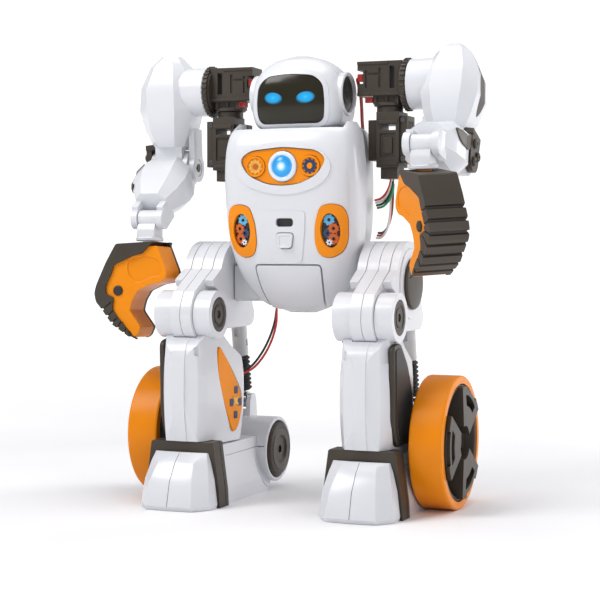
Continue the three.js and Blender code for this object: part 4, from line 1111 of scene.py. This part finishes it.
KNEE_CAP = [(0, 15.3), (9.7, 15.3), (9.7, 17.0), (9.2, 17.3), (7.4, 17.3), (6.8, 16.7), (5.6, 16.5),
            (5.2, 17.1), (3.6, 17.1), (0, 16.9)]
TEARDROP = [(-32.6, 89.6), (-28, 85.5), (-18, 73), (-10.8, 61), (-10.4, 51), (-14, 42.5), (-18, 40),
            (-23.5, 48), (-30, 62), (-34, 77)]


def shin(name, place):
    """The white column of the lower leg with the knee drums, its inlays and caps."""
    put = placer(name, f"lower_leg_{name}", place)
    plan = [(-3.4, -53), (3.4, -53), (10.6, -49.4), (14.6, -42), (16.4, -28), (15.8, -10), (10, -2),
            (-10, -2), (-17.4, -4.2), (-19.16, -9.5), (-13.4, -45.4), (-10, -50)]
    side_view = [(-36, 34.3), (-36, 37), (-49.5, 37),
                 *[tuple(p) for p in smooth_line([(-51.4, 44), (-53, 56), (-53, 78), (-51.2, 89),
                                                  (-47.5, 94)], 14)],
                 *arc(KNEE_Y, KNEE_Z, KNEE_R, 238, -50, 40), (-19, 90), (-8, 82), (-3, 72), (-2, 56),
                 (-4, 34.3)]
    front_half = [(17.8, 34), (19.6, 46), (20, 66), (19, 84), (17.6, 95), (FORK, 97.8), (FORK, 124)]
    front_view = both_sides(front_half)
    drums = bar("x", KNEE_R, -FORK, FORK, KNEE_Y, KNEE_Z, FINE)
    swell = smooth_line([(34, 0.90), (42, 0.97), (52, 1.02), (64, 1.045), (76, 1.03), (87, 0.97),
                         (98.5, 0.88)], 14)
    column_mesh = loft([[(x * wide, y, z) for x, y in plan] for z, wide in swell])
    body = cut_and_joined(column_mesh, keep=[slab("x", side_view, -22, 22)])
    body = cut_and_joined(body, keep=[slab("y", front_view, -60, 10)])
    band_line = [(y - 0.5 if y < -44 else y, z) for y, z in side_view]
    band_line = [(y, z) for y, z in band_line if z < 97.5]
    body = cut_and_joined(body, add=[slab("x", band_line, -3.5, 3.5)])
    lobe_room = bar("x", 16, -LOBE - GAP, LOBE + GAP, KNEE_Y, KNEE_Z, FINE)
    thigh_room = slab("x", [(-60, 104.5), (-36, 100), (-31, 88), (-20, 84), (0, 90), (0, 130), (-60, 130)],
                      -LOBE - GAP, LOBE + GAP)
    caps = [bar("x", 9.9, *sorted((s * (FORK - 1.3), s * (FORK + 3))), KNEE_Y, KNEE_Z) for s in (1, -1)]
    square = slab("y", round_box(-11.6, -8.2, 85.6, 90.6, 0.7), -60, -48.2)
    drop = smooth_loop(TEARDROP, 5)
    slant = shift(-18.6, -13, 0) @ turn("Z", 9.1) @ shift(0, 13, 0)
    inner_pocket = moved(slab("x", grown(drop, 0.3), -6, 1.6), slant)
    plate = rounded([(-44.5, 93), (-33, 95), (-20, 82), (-12, 66), (-9, 48), (-14, 38), (-38, 38),
                     (-43, 52)], 4)
    outer_pocket = slab("x", grown(plate, 0.3), 13.6, 25)
    bores = [bar("x", 3.9, 6, 20, 0, WHEEL_R, SMALL), bar("x", 3, -20, 20, KNEE_Y, KNEE_Z, SMALL)]
    mesh = cut_and_joined(body, add=[drums], cut=[lobe_room, thigh_room, *caps, square, inner_pocket,
                                                  outer_pocket, *bores])
    put("shin_shell", mesh, WHITE, "shin", bevel=0.5)
    put("shin_drop", moved(slab("x", drop, -0.5, 1.8), slant), ORANGE, bevel=0.6)
    put("shin_plate", slab("x", plate, 13.4, 16.8), TAUPE, bevel=0.9, segments=4)
    put("shin_plate_inset", slab("x", grown(plate, -2.6), 16.4, 17.4), SHADE, bevel=0.3)
    put("drop_star", moved(gear("x", 3.4, 4, 1.6, -0.9, -0.3, -16.5, 57.5), slant), GOLD, bevel=0.15)
    for k, (y, z) in enumerate(((-16.2, 64), (-20.8, 57), (-12.6, 56.8), (-16.6, 49.6))):
        outline = round_box(y - 1.7, y + 1.7, z - 2.2, z + 2.2, 0.8)
        put(f"drop_slot_{k}", moved(slab("x", outline, -0.85, -0.2), slant), NAVY, slot="dark_plastic",
            bevel=0.1)
    gland = cut_and_joined(box(-11.4, -4.8, -4, 3.4, 68.2, 74),
                           cut=[bar("y", 1.2, 2, 6, x, 71, SMALL) for x in (-9.6, -6.6)])
    put("wire_gland", gland, TAUPE, bevel=0.6)
    for k, side in enumerate((1, -1)):
        cap = turned("x", facing(side, KNEE_CAP), KNEE_Y, KNEE_Z)
        socket = slab("x", circle(KNEE_Y, KNEE_Z, 2.5, 6), *sorted((side * 16.2, side * 19)))
        put(f"knee_cap_{k}", cut_and_joined(cap, cut=[socket]), TAUPE, bevel=0.12)


def foot(name, place):
    """The foot shell with its bumper, toe and heel drum."""
    put = placer(name, f"lower_leg_{name}", place)
    side_view = [(-36.3, 0), (24, 0), (29, 5), (29, 33.6), (-36.3, 33.6)]
    front_half = [(21.3, 0), (21.3, 9), (17.6, 34)]
    body = cut_and_joined(slab("x", side_view, -25, 25), keep=[slab("y", both_sides(front_half), -40, 40)])
    drum = bar("x", DRUM_R, DRUM_IN, 4, DRUM_Y, DRUM_Z, FINE)
    lug = slab("x", [(30.5, 36), (43.5, 36), (41.5, LUG_Z), (39.5, LUG_Z + 3.6), (34.5, LUG_Z + 3.6),
                     (32.5, LUG_Z)], -6.2, 6.2)
    eye_room = box(-3.4, 3.4, 25, 50, 46.6, 62)
    cap_room = bar("x", 17.3, -30, DRUM_IN + 3, DRUM_Y, DRUM_Z, FINE)
    seam = cut_and_joined(box(-30, 30, -30, 22, 27.2, 27.7), cut=[box(-17.9, 17.9, -40, 40, 20, 34)])
    line = cut_and_joined(bar("x", 24.2, -30, -16, DRUM_Y, DRUM_Z, FINE),
                          cut=[bar("x", 23.7, -31, -15, DRUM_Y, DRUM_Z, FINE),
                               box(-19.4, 20, -40, 60, -10, 60)])
    mesh = cut_and_joined(body, add=[drum, lug], cut=[eye_room, cap_room, seam, line])
    mesh = cut_and_joined(mesh, add=[bar("x", 1.7, -5, 5, LUG_Y, LUG_Z, SMALL)])
    put("foot_shell", mesh, WHITE, "foot", bevel=0.5)
    half = [(23.4, 0.2), (23, 9), (19.4, 36), (18.6, 36.8)]
    bumper = slab("y", both_sides(half), -49, -36.6)
    waist = cut_and_joined(box(-30, 30, -40.6, -40, -1, 40),
                           cut=[slab("y", grown(both_sides(half), -0.6), -60, -20)])
    vent = box(-4.5, 4.5, -46.5, -42, 36.2, 38)
    put("bumper", cut_and_joined(bumper, cut=[waist, vent]), TAUPE, "toe_bumper", bevel=0.5)
    rings = []
    for z, wide, narrow, front in ((0, 21.6, 14, -67), (2.5, 22.2, 14.6, -68.8), (16, 20.6, 13, -65),
                                   (26, 18.2, 11, -58), (31, 16.4, 9.4, -52)):
        back = -49.3
        middle = (back + front) / 2 + 1
        rings.append([(-wide, back, z), (-wide + 0.8, middle, z), (-narrow, front + 1, z), (0, front, z),
                      (narrow, front + 1, z), (wide - 0.8, middle, z), (wide, back, z)])
    put("toe", loft(rings), WHITE, "toe_cap", bevel=0.9, segments=4)
    ridge = [(-67.06, 0.8), (-68.86, 2.5), (-65.06, 16), (-58.06, 26), (-52.4, 30.7)]
    seam_line = slab("x", [*ridge, *[(y + 0.6, z) for y, z in ridge[::-1]]], -0.14, 0.14)
    put("toe_seam", seam_line, TAUPE, bevel=0)
    steps = [(0, -25.6), (2.6, -25.6), (3.4, -25.4), (7.4, -25.4), (8.0, -26.0), (8.6, -26.6),
             (12.4, -26.6), (13.0, -26.2), (13.6, -26.5), (15.4, -26.0), (16.4, -25.0), (16.9, -23.8),
             (16.9, -21.2), (0, -21.2)]
    drum_cap = turned("x", steps, DRUM_Y, DRUM_Z, FINE)
    socket = slab("x", circle(DRUM_Y, DRUM_Z, 2.6, 6), -30, -24.4)
    put("drum_cap_ring", cut_and_joined(drum_cap, cut=[socket]), TAUPE, "drum_cap", bevel=0.12)
    rim = [(17.3, -23.6), (19.4, -23.6), (19.4, -24.0), (18.9, -24.6), (17.8, -24.6), (17.3, -24.2)]
    put("drum_rim", turned("x", [*rim, rim[0]], DRUM_Y, DRUM_Z, FINE), WHITE, bevel=0.12)


def shock(name, place):
    """The rod, its bellows and the sleeve behind the knee."""
    length = math.hypot(LEVER_Y - LUG_Y, LEVER_Z - LUG_Z)
    lean = math.degrees(math.atan2(LUG_Y - LEVER_Y, LEVER_Z - LUG_Z))
    stand = place @ shift(0, LUG_Y, LUG_Z) @ turn("X", lean)
    rod = cut_and_joined(bar("z", 2, 3, 40, 0, 0, SMALL), add=[bar("x", 4.8, -3, 3, 0, 0)],
                         cut=[bar("x", 2.1, -5, 5, 0, 0, SMALL)])
    piece(f"rod_{name}", rod, STEEL, f"shock_lower_{name}", stand, [f"shock_rod_{name}"], bevel=0.15)
    low, high, folds = 6.2, 27.4, 8
    pitch = (high - low) / folds
    outer = []
    for i in range(folds):
        z = low + pitch * i
        outer += [(4.1, z), (4.7, z + pitch * 0.2), (5.35, z + pitch * 0.4), (5.35, z + pitch * 0.6),
                  (4.7, z + pitch * 0.8)]
    profile = [(2.4, low), *outer, (4.1, high), (2.4, high), (2.4, low)]
    bellows = piece(f"bellows_{name}", turned("z", profile, 0, 0, 48), RUBBER, f"shock_lower_{name}", stand,
                    [f"shock_bellows_{name}"], bevel=0)
    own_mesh(bellows)
    top = length - 3
    tube = turned("z", [(0, 48), (3, 48), (3, 28), (4.4, 28), (4.7, 28.3), (4.7, top), (0, top)], 0, 0)
    eye = bar("x", 4.7, -4.7, 4.7, 0, length)
    slots = [box(-6, -3.4, -1.1, 1.1, 34, 38), box(-1.2, 1.2, -6, -3.4, 40.5, 45)]
    sleeve = cut_and_joined(tube, add=[eye], cut=[bar("x", 2.1, -6, 6, 0, length, SMALL), *slots])
    piece(f"sleeve_{name}", sleeve, GREY, f"shock_upper_{name}", stand, [f"shock_sleeve_{name}"], bevel=0.3)


SECTORS = (65, 180, 295)


def wheel(name, place):
    """The tyre, and the dark hub with its three raised sectors."""
    put = placer(name, f"wheel_{name}", place)
    r, x0, x1 = WHEEL_R, WHEEL_IN, WHEEL_OUT
    profile = [(r - 4.5, x0), (r - 1.3, x0), (r - 0.6, x0 + 0.2), (r - 0.15, x0 + 0.7), (r, x0 + 1.5),
               (r, x1 - 1.5), (r - 0.15, x1 - 0.7), (r - 0.6, x1 - 0.2), (r - 1.3, x1), (r - 4.5, x1)]
    put("tyre_band", turned("x", [*profile, profile[0]], 0, r, 160), TYRE, "tyre", bevel=0)
    rim = r - 4.5 - GAP
    dish = [(0, x0 + 2), (9, x0 + 2), (9, x0 + 5), (rim - 3, x0 + 5), (rim - 3, x0 + 0.6), (rim, x0 + 0.6),
            (rim, x1 - 1.0), (rim - 0.4, x1 - 0.6), (rim - 2, x1 - 0.6), (rim - 2.6, x1 - 1.2),
            (rim - 4, x1 - 7), (12, x1 - 10), (9, x1 - 2.5), (0, x1 - 2.5)]
    hub = turned("x", dish, 0, 0, FINE)
    spokes, slots = [], []
    for degrees in SECTORS:
        outline = [*arc(0, 0, rim - 1.2, 34, -34, 24), *arc(0, 0, 9.5, -40, 40, 10)]
        spokes.append(moved(slab("x", outline, x1 - 8, x1 + 2.4), turn("X", degrees)))
        slot = rounded([*arc(0, 0, rim - 6, 22, -22, 8), *arc(0, 0, rim - 12, -18, 18, 6)], 1.6, 3)
        slots.append(moved(slab("x", slot, x1 - 3.4, x1 + 4), turn("X", degrees)))
        step = [*arc(0, 0, rim + 2, 18, -18, 8), *arc(0, 0, rim - 3.4, -18, 18, 8)]
        slots.append(moved(slab("x", step, x1 + 0.6, x1 + 4), turn("X", degrees)))
    centre = bar("x", 5.2, x1 - 4, x1 + 3, 0, 0, SMALL)
    mesh = cut_and_joined(hub, add=spokes, cut=[*slots, centre])
    mesh = cut_and_joined(mesh, add=[bar("x", 3.4, 8, x0 + 3, 0, 0, SMALL)])
    put("hub", moved(mesh, shift(0, 0, r)), TAUPE, "wheel_hub", bevel=0.35)
    put("hub_screw", screw_head("x", 2.6, 1.6, (x1 - 4.1, 0, r)), SCREW, bevel=0.1)


def legs():
    """Both legs, with their wheels."""
    for name, pose in POSE.items():
        place = shift(pose["side"] * LEG_X, 0, 0) @ Matrix.Diagonal((pose["side"], 1, 1, 1))
        thigh(name, place)
        shin(name, place)
        foot(name, place)
        shock(name, place)
        wheel(name, place)


# ---- Leads ----------------------------------------------------------------------------------------
LEG_LEAD = [(19.2, 7, 114), (20, 8, 108.4), (21, 9, 102), (25, 11, 92), (31, 12, 82), (37, 11, 75),
            (43, 8, 71.5), (46, 4, 71)]
ARM_LEAD = [(51.5, 9, 185), (51, 9, 181), (48.5, 10, 176), (44, 13, 172.5), (39.4, 16, 171.5)]
WIRE_R = 0.7
LOWER_LEAD = [(50.5, 10, 185), (50.2, 11, 176), (48.6, 13, 164), (45.5, 15, 156.5), (42, 17, 153.6),
              (38.6, 19, 153.4)]
MOTOR_LEAD = [(-19, 8, -13), (-19.4, 7.5, -6), (-19.2, 6, 1), (-18.8, 3, 8), (-18.6, -1, 13),
              (-18, -4.5, 16), (-16.4, -5.6, 16.5)]


def bowed(points, x, z):
    """The route moved sideways in its middle and not at its ends."""
    last = len(points) - 1
    return [(px + x * math.sin(math.pi * i / last), py, pz + z * math.sin(math.pi * i / last))
            for i, (px, py, pz) in enumerate(points)]


def leads():
    """The leg wires, the arm wires, the second bundle at the side and the motor wires."""
    for name, pose in POSE.items():
        side = Matrix.Diagonal((pose["side"], 1, 1, 1))
        for key, material, dy, bow in (("red", RED, -0.8, -0.9), ("black", BLACK_WIRE, 0.8, 1.2)):
            sideways = bow - 3 if name == "left" else bow
            points = bowed([(x, y + dy, z) for x, y, z in LEG_LEAD], sideways, bow * 0.7)
            stands = [f"leg_lead_{name}"] if key == "red" else []
            wire(f"leg_wire_{key}_{name}", points, WIRE_R, material, "torso", side, stands,
                 to=f"thigh_{name}", span=(0, 0.5))
            wire(f"shin_wire_{key}_{name}", points, WIRE_R, material, f"thigh_{name}", side,
                 to=f"lower_leg_{name}", span=(0.5, 1))
        for k, material in enumerate((RED, WHITE_WIRE, BLACK_WIRE, GREEN_WIRE)):
            points = [(x + (k - 1.5) * 0.5, y, z + (k - 1.5) * -1.5) for x, y, z in ARM_LEAD]
            stands = [f"arm_lead_{name}"] if k == 0 else []
            wire(f"arm_wire_{k}_{name}", points, WIRE_R, material, "torso", side, stands)
        for k, material in enumerate((BLACK_WIRE, RED, WHITE_WIRE)):
            points = [(x + (1 - k) * 0.6, y + 1.2, z + (1 - k) * 1.5) for x, y, z in LOWER_LEAD]
            wire(f"side_wire_{k}_{name}", points, WIRE_R, material, "torso", side)
        yaw = arm_frames(pose)[1]
        for k, material in enumerate((RED, BLACK_WIRE)):
            points = [(x, y + (k - 0.5) * 1.7, z) for x, y, z in MOTOR_LEAD]
            wire(f"motor_wire_{k}_{name}", points, WIRE_R, material, "torso", yaw, to=f"shoulder_{name}")


# ---- Stage ----------------------------------------------------------------------------------------
CAMERA_SPOT, CAMERA_AIM = (343.1, -849.3, 149), (-1.6, -0.6, 116)
LENS, SENSOR = 94.8, 36
MIDDLE = (0, 0, 0.13)


def stage():
    """The pale floor, which brightens with distance so that no horizon shows."""
    floor_mesh = bpy.data.meshes.new("floor")
    rings = (0.6, 1.5, 4.0, 9.0, 20.0)
    sides = 64
    verts = [(0.0, 0.0, 0.0)]
    for reach in rings:
        verts += [(reach * math.cos(2 * math.pi * i / sides), reach * math.sin(2 * math.pi * i / sides),
                   0.0) for i in range(sides)]
    faces = [(0, 1 + i, 1 + (i + 1) % sides) for i in range(sides)]
    for k in range(len(rings) - 1):
        inner, outer = 1 + k * sides, 1 + (k + 1) * sides
        faces += [(inner + i, outer + i, outer + (i + 1) % sides, inner + (i + 1) % sides)
                  for i in range(sides)]
    floor_mesh.from_pydata(verts, [], faces)
    material, tree, shader, place = node_tree("pale_floor")
    paper = noise(tree, place, 6)
    away = add_node(tree, "VectorMath", {0: place}, operation="LENGTH").outputs["Value"]
    share = mapped(tree, paper, 0.3, 0.7, 0, 1)
    plug_in(tree, shader, {
        "Base Color": mixed(tree, share, (0.87, 0.865, 0.885), (0.90, 0.895, 0.91)),
        "Roughness": mapped(tree, paper, 0.3, 0.7, 0.6, 0.7),
        "Emission Color": (1, 1, 1, 1),
        "Emission Strength": mapped(tree, away, 0.3, 1.4, 0.0, 0.8),
    })
    floor_mesh.materials.append(material)
    floor = bpy.data.objects.new("floor", floor_mesh)
    bpy.context.scene.collection.objects.link(floor)


def lamp(name, place, aim, size, power, color=(1, 1, 1)):
    """A soft rectangular light aimed at a point."""
    data = bpy.data.lights.new(name, "AREA")
    data.shape = "RECTANGLE"
    data.size, data.size_y = size
    data.energy = power
    data.color = color
    thing = bpy.data.objects.new(name, data)
    bpy.context.scene.collection.objects.link(thing)
    thing.location = place
    thing.rotation_euler = (Vector(aim) - Vector(place)).to_track_quat("-Z", "Y").to_euler()


def lights_and_camera():
    """Soft studio light, a pale background and the photograph's viewing angle."""
    bpy.context.scene.view_settings.view_transform = "Standard"
    lamp("key", (-0.55, -0.6, 0.9), MIDDLE, (0.5, 0.5), 6.2)
    lamp("fill", (0.9, -0.55, 0.35), MIDDLE, (0.5, 0.8), 2.0, (0.97, 0.98, 1.0))
    lamp("top", (0.0, 0.0, 1.1), MIDDLE, (0.7, 0.7), 5.0)
    lamp("rim", (0.7, 0.7, 0.5), MIDDLE, (0.5, 0.5), 4.5)
    world = bpy.data.worlds.new("studio")
    bpy.context.scene.world = world
    world.use_nodes = True
    tree = world.node_tree
    lighting = tree.nodes["Background"]
    plug_in(tree, lighting, {"Color": (0.97, 0.98, 1.0, 1), "Strength": 0.40})
    seen = add_node(tree, "Background", {"Color": (0.98, 0.98, 0.985, 1), "Strength": 1.15})
    from_camera = add_node(tree, "LightPath").outputs["Is Camera Ray"]
    choice = add_node(tree, "MixShader", {
        "Fac": from_camera, 1: lighting.outputs["Background"], 2: seen.outputs["Background"],
    })
    tree.links.new(choice.outputs["Shader"], tree.nodes["World Output"].inputs["Surface"])
    data = bpy.data.cameras.new("camera")
    data.lens = LENS
    data.sensor_width = SENSOR
    camera = bpy.data.objects.new("camera", data)
    bpy.context.scene.collection.objects.link(camera)
    aim = TO_ROW @ Vector(CAMERA_AIM)
    camera.location = TO_ROW @ Vector(CAMERA_SPOT)
    camera.rotation_euler = (aim - camera.location).to_track_quat("-Z", "Y").to_euler()
    bpy.context.scene.camera = camera


lights_and_camera()
stage()
torso_front()
torso_back()
torso_trims()
buttons()
inside()
head()
arms()
legs()
leads()
